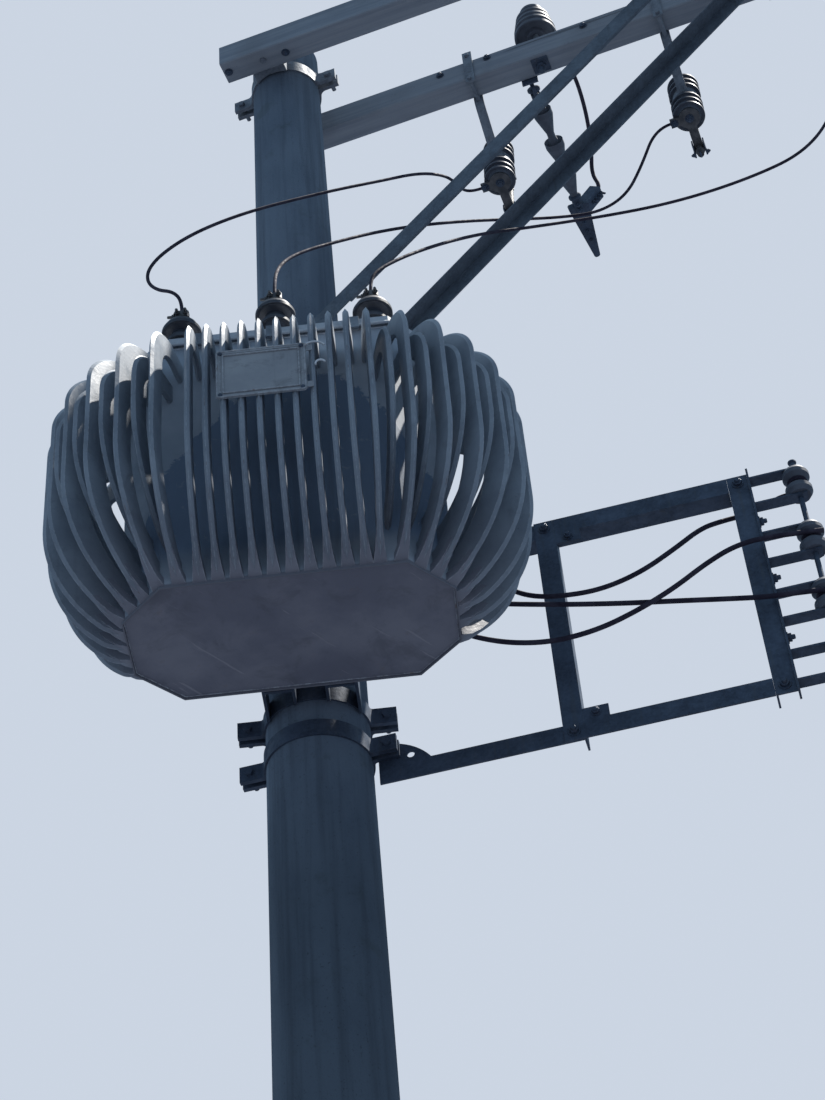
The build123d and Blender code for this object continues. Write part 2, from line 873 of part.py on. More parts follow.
write(Part() + [build_cutout_insulator(place) for place in cutout_places], "cutout_insulators")
write(Part() + [build_cutout_contacts(place) for place in cutout_places], "cutout_contacts")
write(Part() + [build_cutout_tube(place) for place in cutout_places], "cutout_fuse_tubes")
write(Part() + [build_cutout_bracket(place) for place in cutout_places], "cutout_brackets")


# Pin insulator on top of the far crossarm

arm_middle = arm_inner + arm_width / 2
pin_frame = in_frame(arm_frame, Plane(origin=(pin_place, arm_middle, arm_depth / 2 + seat_clearance)))
pin_radius = pin_diameter / 2
with BuildPart() as insulator_pin:
    with BuildSketch(pin_frame):
        Circle(pin_radius * 2.6)
    extrude(amount=pin_radius * 0.7)
    with BuildSketch(pin_frame):
        Circle(pin_radius)
    extrude(amount=pin_height)
write(insulator_pin.part, "insulator_pin")

skirt = pin_insulator_diameter / 2
bore = pin_radius + seat_clearance
bore_top = pin_height - pin_insulator_rise + seat_clearance
pin_outline = [
    (bore, bore_top),
    (bore, pin_skirt_height * 0.6),
    (skirt * 0.4, 0),
    (skirt * 0.46, pin_skirt_height * 1.4),
    (skirt * 0.84, pin_skirt_height * 1.2),
    (skirt * 0.93, 0),
    (skirt, 0),
    (skirt, pin_skirt_height),
]
for i in range(pin_rib_count):
    rib = skirt * (0.98 - 0.07 * i)
    foot = pin_skirt_height + i * pin_rib_pitch
    pin_outline.append((rib * 0.84, foot + pin_rib_pitch * 0.3))
    pin_outline.append((rib, foot + pin_rib_pitch * 0.6))
    pin_outline.append((rib * 0.97, foot + pin_rib_pitch))
neck_foot = pin_skirt_height + pin_rib_count * pin_rib_pitch
neck_top = neck_foot + pin_neck_height
head_top = neck_top + pin_head_height
pin_outline += [
    (skirt * pin_neck_share, neck_foot + pin_neck_height * 0.3),
    (skirt * pin_neck_share, neck_top),
    (skirt * 0.58, neck_top + pin_head_height * 0.25),
    (skirt * 0.58, neck_top + pin_head_height * 0.6),
    (skirt * 0.3, head_top),
]
insulator_frame = in_frame(pin_frame, Plane.XY.offset(pin_insulator_rise))
with BuildPart() as pin_insulator:
    with BuildSketch(in_frame(insulator_frame, Plane.XZ)):
        with BuildLine():
            Polyline((0, bore_top), *pin_outline, (0, head_top), close=True)
        make_face()
    revolve(axis=axis_of(insulator_frame))
write(pin_insulator.part, "pin_insulator")


# Strain insulator that pulls back from the far crossarm, and its clamp

strain_local = Plane(origin=(strain_place, arm_outer, strain_level), x_dir=(1, 0, 0), z_dir=(0, 1, 0))
strain_seat = in_frame(arm_frame, strain_local)
strain_frame = in_frame(arm_frame, strain_local.rotated((0, -strain_roll, 0)).rotated((-strain_dip, 0, 0)))
strain_insulator = revolve_stack(
    strain_frame.offset(strain_eye_length + strain_clevis_length),
    shed_points(strain_core_diameter / 2, strain_shed_diameter / 2, 0, strain_length, strain_shed_count),
)
write(strain_insulator, "strain_insulator")

clamp_start = strain_eye_length + strain_clevis_length + strain_length
clevis = (strain_clevis_width, strain_clevis_height)
with BuildPart() as strain_clamp:
    with BuildSketch(strain_seat.offset(seat_clearance)):
        Rectangle(strain_plate, strain_plate)
    extrude(amount=strain_bar_diameter / 2)
    with BuildSketch(strain_seat.offset(seat_clearance)):
        Circle(bolt_diameter / 2)
    extrude(amount=strain_eye_length - strain_eye_diameter / 2)
    with BuildSketch(strain_frame.offset(strain_eye_length)):
        Rectangle(*clevis)
        chamfer(vertices(), length=strain_clevis_width / 5)
    extrude(amount=strain_clevis_length - seat_clearance)
    with BuildSketch(in_frame(strain_frame, Plane.YZ.offset(-strain_bar_diameter / 2))):
        with Locations((0, strain_eye_length)):
            Circle(strain_eye_diameter / 2 + strain_bar_diameter)
            Circle(strain_eye_diameter / 2, mode=Mode.SUBTRACT)
    extrude(amount=strain_bar_diameter)
    with BuildSketch(strain_frame.offset(clamp_start + seat_clearance)):
        Rectangle(*clevis)
        chamfer(vertices(), length=strain_clevis_width / 5)
    extrude(amount=strain_clevis_length)
    with BuildSketch(in_frame(strain_frame, Plane.XZ.offset(-strain_clamp_thickness / 2))):
        with BuildLine():
            Polyline(
                (-strain_clamp_wide / 2, clamp_start + strain_clevis_length / 2),
                (strain_clamp_wide / 2, clamp_start + strain_clevis_length / 2),
                (strain_clamp_narrow / 2, clamp_start + strain_clamp_length),
                (-strain_clamp_narrow / 2, clamp_start + strain_clamp_length),
                close=True,
            )
        make_face()
        chamfer(vertices(), length=strain_clamp_narrow / 4)
    extrude(amount=strain_clamp_thickness)
    with BuildSketch(strain_frame.offset(clamp_start + connector_start)):
        with Locations(Location((0, 0, 0), (0, 0, -45))):
            with Locations((connector_reach / 2, 0)):
                Rectangle(connector_reach, connector_width)
    extrude(amount=connector_height)
write(strain_clamp.part, "strain_clamp")


# Offset frame and its arms: rolled angle, legs at the front and inwards

def bar_section(leg, corner, out_y, out_z):
    """An angle's section at a corner point; out_y and out_z give the ways its legs run."""
    y, z = corner
    with Locations((y + out_y * angle_thickness / 2, z + out_z * leg / 2)):
        Rectangle(angle_thickness, leg)
    with Locations((y + out_y * leg / 2, z + out_z * angle_thickness / 2)):
        Rectangle(leg, angle_thickness)


def build_bar(first, last, height, out_z):
    """A level bar of the outer frame; its flat leg lies at the given height."""
    with BuildPart() as bar:
        with BuildSketch(in_frame(rack_frame, Plane.YZ.offset(first))):
            bar_section(frame_leg, (frame_face, height), 1, out_z)
        extrude(amount=last - first)
        with BuildSketch(in_frame(rack_frame, Plane.XZ.offset(-frame_face))):
            with Locations((first + frame_cleat_length / 2, height - out_z * frame_cleat_height / 2)):
                Rectangle(frame_cleat_length, frame_cleat_height)
        extrude(amount=-angle_thickness)
    return bar.part


def build_post(corner_x, out_x):
    """An upright of rolled angle with one leg to the front; out_x is the way that leg runs."""
    with BuildPart() as post:
        with BuildSketch(rack_frame.offset(frame_bottom)):
            bar_section(frame_leg, (corner_x, frame_face), out_x, 1)
        extrude(amount=frame_top - frame_bottom)
    return post.part


def build_arm(height, out_z, band_level):
    """A bar from a pole band to the inner post, with a curved gusset to the band's ear."""
    start = band_outer_radius(band_level) + gusset_start
    gusset_end = band_level - out_z * band_height / 2
    face = in_frame(rack_frame, Plane.XZ.offset(-arm_face))
    with BuildPart() as arm:
        with BuildSketch(in_frame(rack_frame, Plane.YZ.offset(start))):
            bar_section(frame_leg, (arm_face, height), 1, out_z)
        extrude(amount=frame_inner + frame_leg - angle_thickness - seat_clearance - start)
        with BuildSketch(face):
            with BuildLine():
                Polyline(
                    (start + gusset_length, height),
                    (start, height),
                    (start, gusset_end),
                    (start + gusset_flat, gusset_end),
                )
                ThreePointArc(
                    (start + gusset_flat, gusset_end),
                    (start + gusset_length * 0.72, height + (gusset_end - height) * 0.62),
                    (start + gusset_length, height),
                )
            make_face()
            with Locations((start + gusset_length * 0.62, (height + band_level) / 2)):
                Circle(gusset_hole / 2, mode=Mode.SUBTRACT)
            with Locations((band_outer_radius(band_level) + ear_bolt_place, band_level)):
                Circle(arm_hole / 2, mode=Mode.SUBTRACT)
        extrude(amount=-angle_thickness)
    return arm.part


arm_face = ear_gap / 2 + ear_thickness + seat_clearance
frame_face = arm_face - angle_thickness - seat_clearance
lower_band_height = frame_bottom + frame_leg + frame_band_offset
upper_band_height = frame_top - frame_leg - frame_band_offset
lower_arm = build_arm(frame_bottom + frame_leg, -1, lower_band_height)
upper_arm = build_arm(frame_top - frame_leg, 1, upper_band_height)
write(Part() + [lower_arm, upper_arm], "frame_arms")
write(build_post(frame_inner + frame_leg, -1), "frame_inner_post")
write(build_post(frame_outer, 1), "frame_outer_post")
bar_start = frame_inner + frame_leg + seat_clearance
bar_end = frame_outer - seat_clearance
top_bar = build_bar(bar_start, bar_end, frame_top - frame_leg, 1)
bottom_bar = build_bar(bar_start, bar_end, frame_bottom + frame_leg, -1)
write(Part() + [top_bar, bottom_bar], "frame_bars")
arm_grip = angle_thickness + 2 * seat_clearance
for name, height in (("frame_band_lower", lower_band_height), ("frame_band_upper", upper_band_height)):
    write(build_band(turned_frame(frame_yaw, height), band_height, arm_grip), name)


# Secondary rack

rack_x = frame_outer + frame_leg + seat_clearance
rack_y = frame_leg / 2
rack_top = rack_first + (spool_count - 1) * rack_pitch + spool_height / 2 + 40
rack_bottom = rack_first - spool_height / 2 - 40
spool_x = rack_x + rack_channel_width + spool_reach
rung_start = rack_x + rack_channel_thickness
rung_end = spool_x + rung_overhang
with BuildPart() as rack:
    with BuildSketch(rack_frame.offset(rack_bottom)):
        with Locations((rack_x + rack_channel_thickness / 2, rack_y)):
            Rectangle(rack_channel_thickness, rack_channel_width)
    extrude(amount=rack_top - rack_bottom)
    for i in range(spool_count):
        middle = rack_first + i * rack_pitch
        for side in (-1, 1):
            face = middle + side * (spool_height / 2 + seat_clearance)
            with BuildSketch(rack_frame.offset(face)):
                with Locations(((rung_start + rung_end) / 2, rack_y)):
                    Rectangle(rung_end - rung_start, stirrup_width)
            extrude(amount=side * stirrup_thickness)
    with BuildSketch(rack_frame.offset(rack_bottom)):
        with Locations((spool_x, rack_y)):
            Circle(rack_rod_diameter / 2)
    extrude(amount=rack_top - rack_bottom)
write(rack.part, "secondary_rack")


def build_spool(number):
    """Grooved spool insulator, bored for the rack's rod."""
    half = spool_height / 2
    frame = in_frame(rack_frame, Plane(origin=(spool_x, rack_y, rack_first + number * rack_pitch)))
    r = spool_diameter / 2
    bore = rack_rod_diameter / 2 + seat_clearance
    with BuildPart() as spool:
        with BuildSketch(in_frame(frame, Plane.XZ)):
            with BuildLine():
                Polyline(
                    (bore, -half),
                    (r * 0.8, -half),
                    (r, -half * 0.72),
                    (r, -half * 0.45),
                    (r * 0.62, -half * 0.18),
                    (r * 0.62, half * 0.18),
                    (r, half * 0.45),
                    (r, half * 0.72),
                    (r * 0.8, half),
                    (bore, half),
                    close=True,
                )
            make_face()
        revolve(axis=axis_of(frame))
    return spool.part


write(Part() + [build_spool(i) for i in range(spool_count)], "spool_insulators")


# Leads: straight runs joined by arcs as large as the runs allow

def corner_radii(points):
    """One radius for each corner: 0.45 of its shorter run over the tangent of half the turn."""
    radii = []
    for before, corner, after in zip(points, points[1:], points[2:]):
        first = Vector(*corner) - Vector(*before)
        second = Vector(*after) - Vector(*corner)
        half_turn = radians(first.get_angle(second)) / 2
        radii.append(0.45 * min(first.length, second.length) / tan(half_turn))
    return radii


def build_lead(label, points, diameter):
    radii = corner_radii(points)
    with BuildPart() as lead:
        with BuildLine() as path:
            route = FilletPolyline(*points, radius=radii)
        with BuildSketch(Plane(origin=route @ 0, z_dir=route % 0)):
            Circle(diameter / 2)
        sweep(path=path.line)
    share = lead.part.volume / (route.length * pi * diameter**2 / 4)
    print(label, "length", round(route.length), "volume over section times length", round(share, 3))
    print(label, "radii", [round(r) for r in radii])
    return lead.part


def pad_end(place):
    """Middle of the end face of a lower contact's pad."""
    local = (-contact_pad_reach, 0, -cutout_length / 2 - seat_clearance - contact_thickness)
    return cutout_frame(place).from_local_coords(local)


def build_jumper(label, offset, points, place):
    """A lead from a bushing's stud, straight up, to a cutout's pad, straight in."""
    stud_top = tank_floor_height + tank_height + cover_thickness + hv_height + hv_stud_height
    across, forward = hv_place(offset)
    start = Vector(tank_x + across, tank_y + forward, stud_top)
    end = pad_end(place)
    first = [start, start + Vector(0, 0, jumper_lead_in)]
    last = [end - arm_frame.x_dir * jumper_lead_in, end]
    return build_lead(label, first + points + last, jumper_diameter)


jumper_left = [
    (-330, -580, 7345), (-382, -560, 7385), (-418, -540, 7455), (-420, -518, 7550), (-378, -495, 7655),
    (-295, -468, 7768), (-185, -430, 7880), (-70, -380, 7990), (55, -320, 8102), (185, -250, 8225),
    (325, -170, 8355), (460, -88, 8490), (550, 20, 8610), (595, 140, 8720),
]
jumper_centre = [
    (-10, -565, 7420), (22, -528, 7515), (82, -470, 7622), (165, -400, 7737), (270, -310, 7880),
    (385, -218, 8015), (515, -118, 8148), (655, -20, 8268), (800, 62, 8357), (945, 120, 8418),
    (1090, 150, 8460), (1200, 140, 8530), (1270, 100, 8640),
]
jumper_right = [
    (300, -582, 7340), (372, -530, 7452), (450, -462, 7572), (540, -380, 7705), (655, -290, 7842),
    (790, -202, 7960), (935, -130, 8062), (1095, -88, 8128), (1275, -78, 8165), (1450, -86, 8200),
    (1620, -98, 8250), (1775, -108, 8320), (1890, -120, 8440), (1960, -130, 8600),
]
jumpers = [
    build_jumper("jumper_left", hv_offsets[0], jumper_left, cutout_places[0]),
    build_jumper("jumper_centre", hv_offsets[1], jumper_centre, cutout_places[1]),
    build_jumper("jumper_right", hv_offsets[2], jumper_right, cutout_places[2]),
]
write(Part() + jumpers, "jumpers")


def arm_point(along, side, up):
    return arm_frame.from_local_coords((along, side, up))


# The line's tap: from the clamp's connector, up and over behind the arm, to the pin insulator's neck
connector_end = strain_frame.from_local_coords(
    Vector(1, -1, 0).normalized() * (connector_reach + seat_clearance)
    + Vector(0, 0, clamp_start + connector_start + connector_height / 2)
)
tap_direction = (strain_frame.x_dir - strain_frame.y_dir).normalized()
neck_side = arm_middle + skirt * pin_neck_share + tap_diameter / 2 + seat_clearance
neck_level = arm_depth / 2 + pin_insulator_rise + neck_foot + pin_neck_height * 0.65
tap_points = [connector_end, connector_end + tap_direction * tap_lead_in] + [
    arm_point(952, 872, 92), arm_point(977, 830, 185), arm_point(998, 740, 262), arm_point(1008, 620, 300),
    arm_point(1006, 520, 304), arm_point(1000, 430, 292), arm_point(988, 340, 272),
    arm_point(pin_place + 14, neck_side, neck_level), arm_point(pin_place - 60, neck_side, neck_level),
]
write(build_lead("tap_lead", tap_points, tap_diameter), "tap_lead")

lead_back = tank_y + tank_width / 2 + lv_length + lv_lug_thickness / 2
lead_top = tank_floor_height + lv_row_height - lv_lug_height + lv_lug_width / 2
lead_starts = [tank_x + offset for offset in lv_offsets[1:]]
lead_a = [
    (lead_starts[2], lead_back, lead_top), (lead_starts[2], lead_back, 6530), (300, -150, 6470),
    (400, -150, 6440), (500, -151, 6405), (575, -154, 6355), (640, -160, 6305), (725, -168, 6285),
    (840, -178, 6284), (960, -188, 6325), (1070, -188, 6405), (1160, -175, 6490), (1230, -140, 6545),
    (1300, -127, 6572), (1375, -158, 6577), (1420, -190, 6577),
    (1495, -194, 6577),
]
lead_b = [
    (lead_starts[1], lead_back, lead_top), (lead_starts[1], lead_back, 6490), (190, -160, 6420),
    (250, -168, 6362), (330, -172, 6325), (440, -175, 6300), (525, -175, 6280), (635, -180, 6255),
    (775, -185, 6230), (915, -200, 6200), (1050, -220, 6170), (1190, -238, 6140), (1290, -252, 6119),
    (1400, -259, 6117), (1500, -260, 6117),
]
lead_c = [
    (lead_starts[0], lead_back, lead_top), (lead_starts[0], lead_back, 6490), (-170, -170, 6420),
    (-100, -190, 6330), (0, -205, 6270), (110, -210, 6230), (220, -209, 6212), (320, -204, 6200),
    (405, -201, 6172), (485, -200, 6125), (580, -201, 6092), (690, -207, 6078), (815, -216, 6097),
    (935, -228, 6145), (1045, -240, 6205), (1140, -248, 6275), (1235, -254, 6330), (1340, -259, 6347),
    (1490, -260, 6347),
]
lv_leads = [
    build_lead("lv_lead_a", lead_a, lead_diameter),
    build_lead("lv_lead_b", lead_b, lead_diameter),
    build_lead("lv_lead_c", lead_c, lead_diameter),
]
write(Part() + lv_leads, "lv_leads")
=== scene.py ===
"""Looks of the pole mounted transformer: finishes, leads, small fasteners, light and camera.

Metres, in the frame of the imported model: +Z up, the pole's foot at the origin, the tank on the -Y side.
"""
import json
import math

import bmesh
import bpy
from mathutils import Matrix, Vector

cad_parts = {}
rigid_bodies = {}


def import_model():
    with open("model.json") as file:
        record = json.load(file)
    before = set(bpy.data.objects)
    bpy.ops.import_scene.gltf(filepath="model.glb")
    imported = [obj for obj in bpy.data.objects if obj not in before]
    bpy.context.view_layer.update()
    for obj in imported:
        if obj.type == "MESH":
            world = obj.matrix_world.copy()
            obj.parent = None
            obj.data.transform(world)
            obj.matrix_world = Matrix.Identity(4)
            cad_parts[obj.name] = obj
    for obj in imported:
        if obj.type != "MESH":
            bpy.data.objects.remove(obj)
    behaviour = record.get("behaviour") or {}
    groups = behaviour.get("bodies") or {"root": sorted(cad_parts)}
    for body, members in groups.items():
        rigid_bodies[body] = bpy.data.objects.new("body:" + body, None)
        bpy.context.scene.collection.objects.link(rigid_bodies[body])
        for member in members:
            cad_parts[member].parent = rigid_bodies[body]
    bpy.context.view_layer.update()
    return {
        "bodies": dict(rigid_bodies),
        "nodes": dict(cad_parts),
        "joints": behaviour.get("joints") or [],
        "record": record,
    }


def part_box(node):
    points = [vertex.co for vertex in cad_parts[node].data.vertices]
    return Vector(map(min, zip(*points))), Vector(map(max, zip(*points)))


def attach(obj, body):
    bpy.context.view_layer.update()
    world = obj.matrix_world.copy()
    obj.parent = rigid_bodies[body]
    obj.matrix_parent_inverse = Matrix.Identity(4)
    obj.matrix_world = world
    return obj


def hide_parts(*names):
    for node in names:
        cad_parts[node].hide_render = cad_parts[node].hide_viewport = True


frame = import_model()
nodes = frame["nodes"]

MM = 0.001

# Camera: fitted to the photograph, whose frame is 825 by 1100 pixels
FOCAL_PIXELS = 2377.24
FRAME_HEIGHT_PIXELS = 1100
CAMERA_PLACE = Vector((0.416, -5.098, 1.6))
CAMERA_PITCH = math.radians(45.026)
CAMERA_YAW = math.radians(-1.145)
CAMERA_ROLL = math.radians(-5.319)
SENSOR_HEIGHT = 24.0

# Turn of the crossarms from the tank's long side
ARM_YAW = math.radians(15.4)

# Dark arch on the tank's front wall, in metres
ARCH_MIDDLE = 0.03
ARCH_TOP = 6.78
ARCH_FALL = 3.0

# Light: the sun stands high on the right and a little behind, and the sky fills the shade with blue
SUN_HEIGHT = math.radians(66)
SUN_TURN = math.radians(18)
SUN_STRENGTH = 8.0
SUN_COLOUR = (1.0, 0.96, 0.9)
SUN_ANGLE = math.radians(1.2)
SKY_COLOUR = (0.5, 0.73, 1.0)
SKY_SHOWN = (0.6, 0.665, 0.765)
SKY_STRENGTH = 0.46
FLOOR_COLOUR = (0.62, 0.62, 0.61)
FLOOR_BOUNCE = (0.09, 0.105, 0.135)
FLOOR_SIZE = 60.0


class Finish:
    """One procedural material; its methods add nodes and give back their output sockets."""

    def __init__(self, name, roughness=0.5, metallic=0.0, specular=0.5):
        self.material = bpy.data.materials.new(name)
        self.material.use_nodes = True
        self.tree = self.material.node_tree
        self.shader = self.tree.nodes["Principled BSDF"]
        self.shader.inputs["Roughness"].default_value = roughness
        self.shader.inputs["Metallic"].default_value = metallic
        self.shader.inputs["Specular IOR Level"].default_value = specular
        self.place = self.add("ShaderNodeTexCoord").outputs["Object"]
        self.last_bump = None

    def add(self, kind, **settings):
        node = self.tree.nodes.new(kind)
        for key, value in settings.items():
            setattr(node, key, value)
        return node

    def link(self, source, target):
        self.tree.links.new(source, target)

    def put(self, target, value):
        """Gives an input a socket, a number or a colour."""
        if isinstance(value, bpy.types.NodeSocket):
            self.link(value, target)
        elif hasattr(target.default_value, "__len__") and not hasattr(value, "__len__"):
            target.default_value = (value, value, value, 1.0)[: len(target.default_value)]
        elif hasattr(value, "__len__") and len(value) == 3 and len(target.default_value) == 4:
            target.default_value = (*value, 1.0)
        else:
            target.default_value = value

    def stretched(self, stretch):
        node = self.add("ShaderNodeMapping")
        self.link(self.place, node.inputs["Vector"])
        node.inputs["Scale"].default_value = stretch
        return node.outputs["Vector"]

    def noise(self, scale, detail=4.0, roughness=0.55, stretch=(1, 1, 1), warp=0.0):
        """Soft noise; scale is in lumps per metre."""
        node = self.add("ShaderNodeTexNoise")
        self.link(self.stretched(stretch), node.inputs["Vector"])
        node.inputs["Scale"].default_value = scale
        node.inputs["Detail"].default_value = detail
        node.inputs["Roughness"].default_value = roughness
        node.inputs["Distortion"].default_value = warp
        return node.outputs["Fac"]

    def cells(self, scale):
        """A colour for each cell; scale is in cells per metre."""
        node = self.add("ShaderNodeTexVoronoi", feature="F1")
        self.link(self.place, node.inputs["Vector"])
        node.inputs["Scale"].default_value = scale
        return node.outputs["Color"]

    def ramp(self, value, low, high, out_low=0.0, out_high=1.0):
        """Smooth step of a value between two limits."""
        node = self.add("ShaderNodeMapRange", interpolation_type="SMOOTHSTEP")
        self.link(value, node.inputs["Value"])
        node.inputs["From Min"].default_value = low
        node.inputs["From Max"].default_value = high
        node.inputs["To Min"].default_value = out_low
        node.inputs["To Max"].default_value = out_high
        return node.outputs["Result"]

    def mix(self, factor, first, second):
        """The first colour, blended towards the second by a factor."""
        node = self.add("ShaderNodeMix", data_type="RGBA")
        self.put(node.inputs["Factor"], factor)
        self.put(node.inputs[6], first)
        self.put(node.inputs[7], second)
        return node.outputs[2]

    def reckon(self, operation, first, second):
        node = self.add("ShaderNodeMath", operation=operation)
        self.put(node.inputs[0], first)
        self.put(node.inputs[1], second)
        return node.outputs[0]

    def times(self, first, second):
        return self.reckon("MULTIPLY", first, second)

    def sum(self, first, second):
        return self.reckon("ADD", first, second)

    def most(self, first, second):
        return self.reckon("MAXIMUM", first, second)

    def facing(self, direction, low, high):
        """How far a surface faces a direction in space, as a smooth step."""
        normal = self.add("ShaderNodeNewGeometry").outputs["Normal"]
        dot = self.add("ShaderNodeVectorMath", operation="DOT_PRODUCT")
        self.link(normal, dot.inputs[0])
        dot.inputs[1].default_value = direction
        return self.ramp(dot.outputs["Value"], low, high)

    def along(self, axis):
        """The place along an axis, in metres."""
        split = self.add("ShaderNodeSeparateXYZ")
        self.link(self.place, split.inputs[0])
        return split.outputs[axis]

    def edges(self, radius, low=0.03, high=0.22):
        """Bright on outer and inner edges of the form, for wear and for paint that gathers."""
        bevel = self.add("ShaderNodeBevel", samples=4)
        bevel.inputs["Radius"].default_value = radius
        plain = self.add("ShaderNodeNewGeometry").outputs["Normal"]
        far = self.add("ShaderNodeVectorMath", operation="DISTANCE")
        self.link(bevel.outputs["Normal"], far.inputs[0])
        self.link(plain, far.inputs[1])
        return self.ramp(far.outputs["Value"], low, high)

    def bump(self, height, depth, strength=1.0):
        """Adds relief of a depth in metres to the relief so far."""
        node = self.add("ShaderNodeBump")
        node.inputs["Strength"].default_value = strength
        node.inputs["Distance"].default_value = depth
        self.link(height, node.inputs["Height"])
        if self.last_bump:
            self.link(self.last_bump, node.inputs["Normal"])
        self.last_bump = node.outputs["Normal"]

    def done(self, colour, roughness=None):
        """Puts the colour, roughness and relief on the shader and gives back the material."""
        self.put(self.shader.inputs["Base Color"], colour)
        if roughness is not None:
            self.put(self.shader.inputs["Roughness"], roughness)
        if self.last_bump:
            self.link(self.last_bump, self.shader.inputs["Normal"])
        return self.material


def concrete_finish():
    """Weathered concrete with streaks and pores, and painted shade that darkens it from below the tank
    towards the ground.
    """
    f = Finish("concrete", roughness=0.9, specular=0.3)
    blotch = f.ramp(f.noise(2.2, 5, stretch=(1, 1, 0.45)), 0.36, 0.66)
    base = f.mix(blotch, (0.102, 0.134, 0.18), (0.16, 0.204, 0.259))
    streak = f.ramp(f.noise(26, 4, 0.6, stretch=(1, 1, 0.035)), 0.46, 0.72)
    base = f.mix(f.times(streak, 0.55), base, (0.065, 0.083, 0.111))
    wash = f.ramp(f.noise(11, 3, 0.6, stretch=(1, 1, 0.05), warp=0.4), 0.56, 0.74)
    base = f.mix(f.times(wash, 0.5), base, (0.235, 0.294, 0.358))
    moss = f.ramp(f.noise(7, 6, 0.65), 0.57, 0.7)
    base = f.mix(f.times(moss, 0.35), base, (0.07, 0.092, 0.095))
    pores = f.ramp(f.noise(210, 2, 0.5), 0.66, 0.74)
    base = f.mix(f.times(pores, 0.6), base, (0.043, 0.054, 0.07))
    worn = f.times(f.edges(0.006), f.ramp(f.noise(40, 4), 0.35, 0.6))
    base = f.mix(f.times(worn, 0.7), base, (0.285, 0.353, 0.419))
    # Painted shade: the pole is darkened below the tank, fully below 5.3 m and fading out by 6.0 m.
    base = f.mix(f.ramp(f.along("Z"), 5.3, 6.0, 0.45, 0.0), base, (0.02, 0.026, 0.034))
    f.bump(f.noise(120, 6, 0.6), 0.0022, 0.55)
    f.bump(pores, -0.0025, 0.7)
    f.bump(f.noise(9, 3, stretch=(1, 1, 0.3)), 0.008, 0.35)
    return f.done(base, f.ramp(blotch, 0, 1, 0.95, 0.78))


def timber_finish():
    """Smooth, weathered crossarms with faint fibres that run along them."""
    f = Finish("weathered_arm", roughness=0.85, specular=0.2)
    turn = f.add("ShaderNodeMapping")
    f.link(f.place, turn.inputs["Vector"])
    turn.inputs["Rotation"].default_value = (0, 0, ARM_YAW)
    f.place = turn.outputs["Vector"]
    grain = f.noise(60, 5, 0.6, stretch=(0.035, 1, 1), warp=0.15)
    fibre = f.noise(340, 3, 0.5, stretch=(0.02, 1, 1))
    base = f.mix(f.ramp(grain, 0.3, 0.7), (0.228, 0.258, 0.302), (0.298, 0.328, 0.37))
    base = f.mix(f.times(f.ramp(fibre, 0.5, 0.75), 0.35), base, (0.33, 0.33, 0.335))
    crack = f.ramp(f.noise(26, 2, 0.5, stretch=(0.02, 1, 1), warp=0.3), 0.69, 0.7)
    base = f.mix(f.times(crack, 0.6), base, (0.08, 0.083, 0.09))
    damp = f.ramp(f.noise(3.2, 4), 0.42, 0.66)
    base = f.mix(f.times(damp, 0.35), base, (0.15, 0.158, 0.175))
    pores = f.ramp(f.noise(150, 3, 0.5), 0.67, 0.73)
    base = f.mix(f.times(pores, 0.4), base, (0.11, 0.112, 0.12))
    worn = f.times(f.edges(0.005), f.ramp(f.noise(30, 4), 0.35, 0.6))
    base = f.mix(f.times(worn, 0.4), base, (0.36, 0.36, 0.365))
    f.bump(grain, 0.002, 0.35)
    f.bump(fibre, 0.001, 0.4)
    f.bump(crack, -0.003, 0.7)
    return f.done(base)


def paint_finish(name, light, dark, dirt_share):
    """Light grey paint, chalked on top, with a painted highlight on its highest band, grimy, darker towards
    the bottom and chipped along its edges.
    """
    f = Finish(name, roughness=0.5, specular=0.45)
    cloud = f.ramp(f.noise(5, 5, 0.6), 0.34, 0.66)
    base = f.mix(cloud, dark, light)
    chalk = f.times(f.facing((0, 0, 1), 0.15, 0.9), f.ramp(f.noise(24, 4), 0.25, 0.6))
    base = f.mix(f.times(chalk, 0.8), base, (0.62, 0.64, 0.66))
    # Painted highlight: paint above 6.7 m is lightened to stand in for the sunlit tops of the tubes.
    painted_sunlit_tops = f.ramp(f.along("Z"), 6.7, 6.84)
    base = f.mix(f.times(painted_sunlit_tops, 0.55), base, (0.55, 0.585, 0.63))
    run = f.ramp(f.noise(46, 4, 0.6, stretch=(1, 1, 0.05)), 0.52, 0.74)
    base = f.mix(f.times(run, 0.42 * dirt_share), base, (0.115, 0.12, 0.125))
    grime = f.ramp(f.noise(13, 7, 0.68, warp=0.6), 0.53, 0.68)
    base = f.mix(f.times(grime, 0.6 * dirt_share), base, (0.09, 0.092, 0.096))
    specks = f.ramp(f.noise(160, 3, 0.6), 0.66, 0.72)
    base = f.mix(f.times(specks, 0.5), base, (0.1, 0.085, 0.07))
    # Darker towards the bottom of the tank, fading out by 6.3 m.
    base = f.mix(f.ramp(f.along("Z"), 6.0, 6.3, 0.45, 0.0), base, (0.2, 0.2, 0.235))
    edge = f.edges(0.0035)
    chipped = f.times(edge, f.ramp(f.noise(70, 4), 0.42, 0.6))
    base = f.mix(f.times(chipped, 0.6), base, (0.52, 0.56, 0.6))
    rust = f.times(edge, f.ramp(f.noise(31, 5), 0.6, 0.68))
    base = f.mix(f.times(rust, 0.7), base, (0.16, 0.085, 0.05))
    f.bump(f.noise(95, 4, 0.55), 0.0009, 0.4)
    f.bump(f.noise(14, 4), 0.004, 0.25)
    f.bump(grime, 0.0006, 0.5)
    return f.done(base, f.ramp(f.noise(17, 5), 0.3, 0.7, 0.4, 0.68))


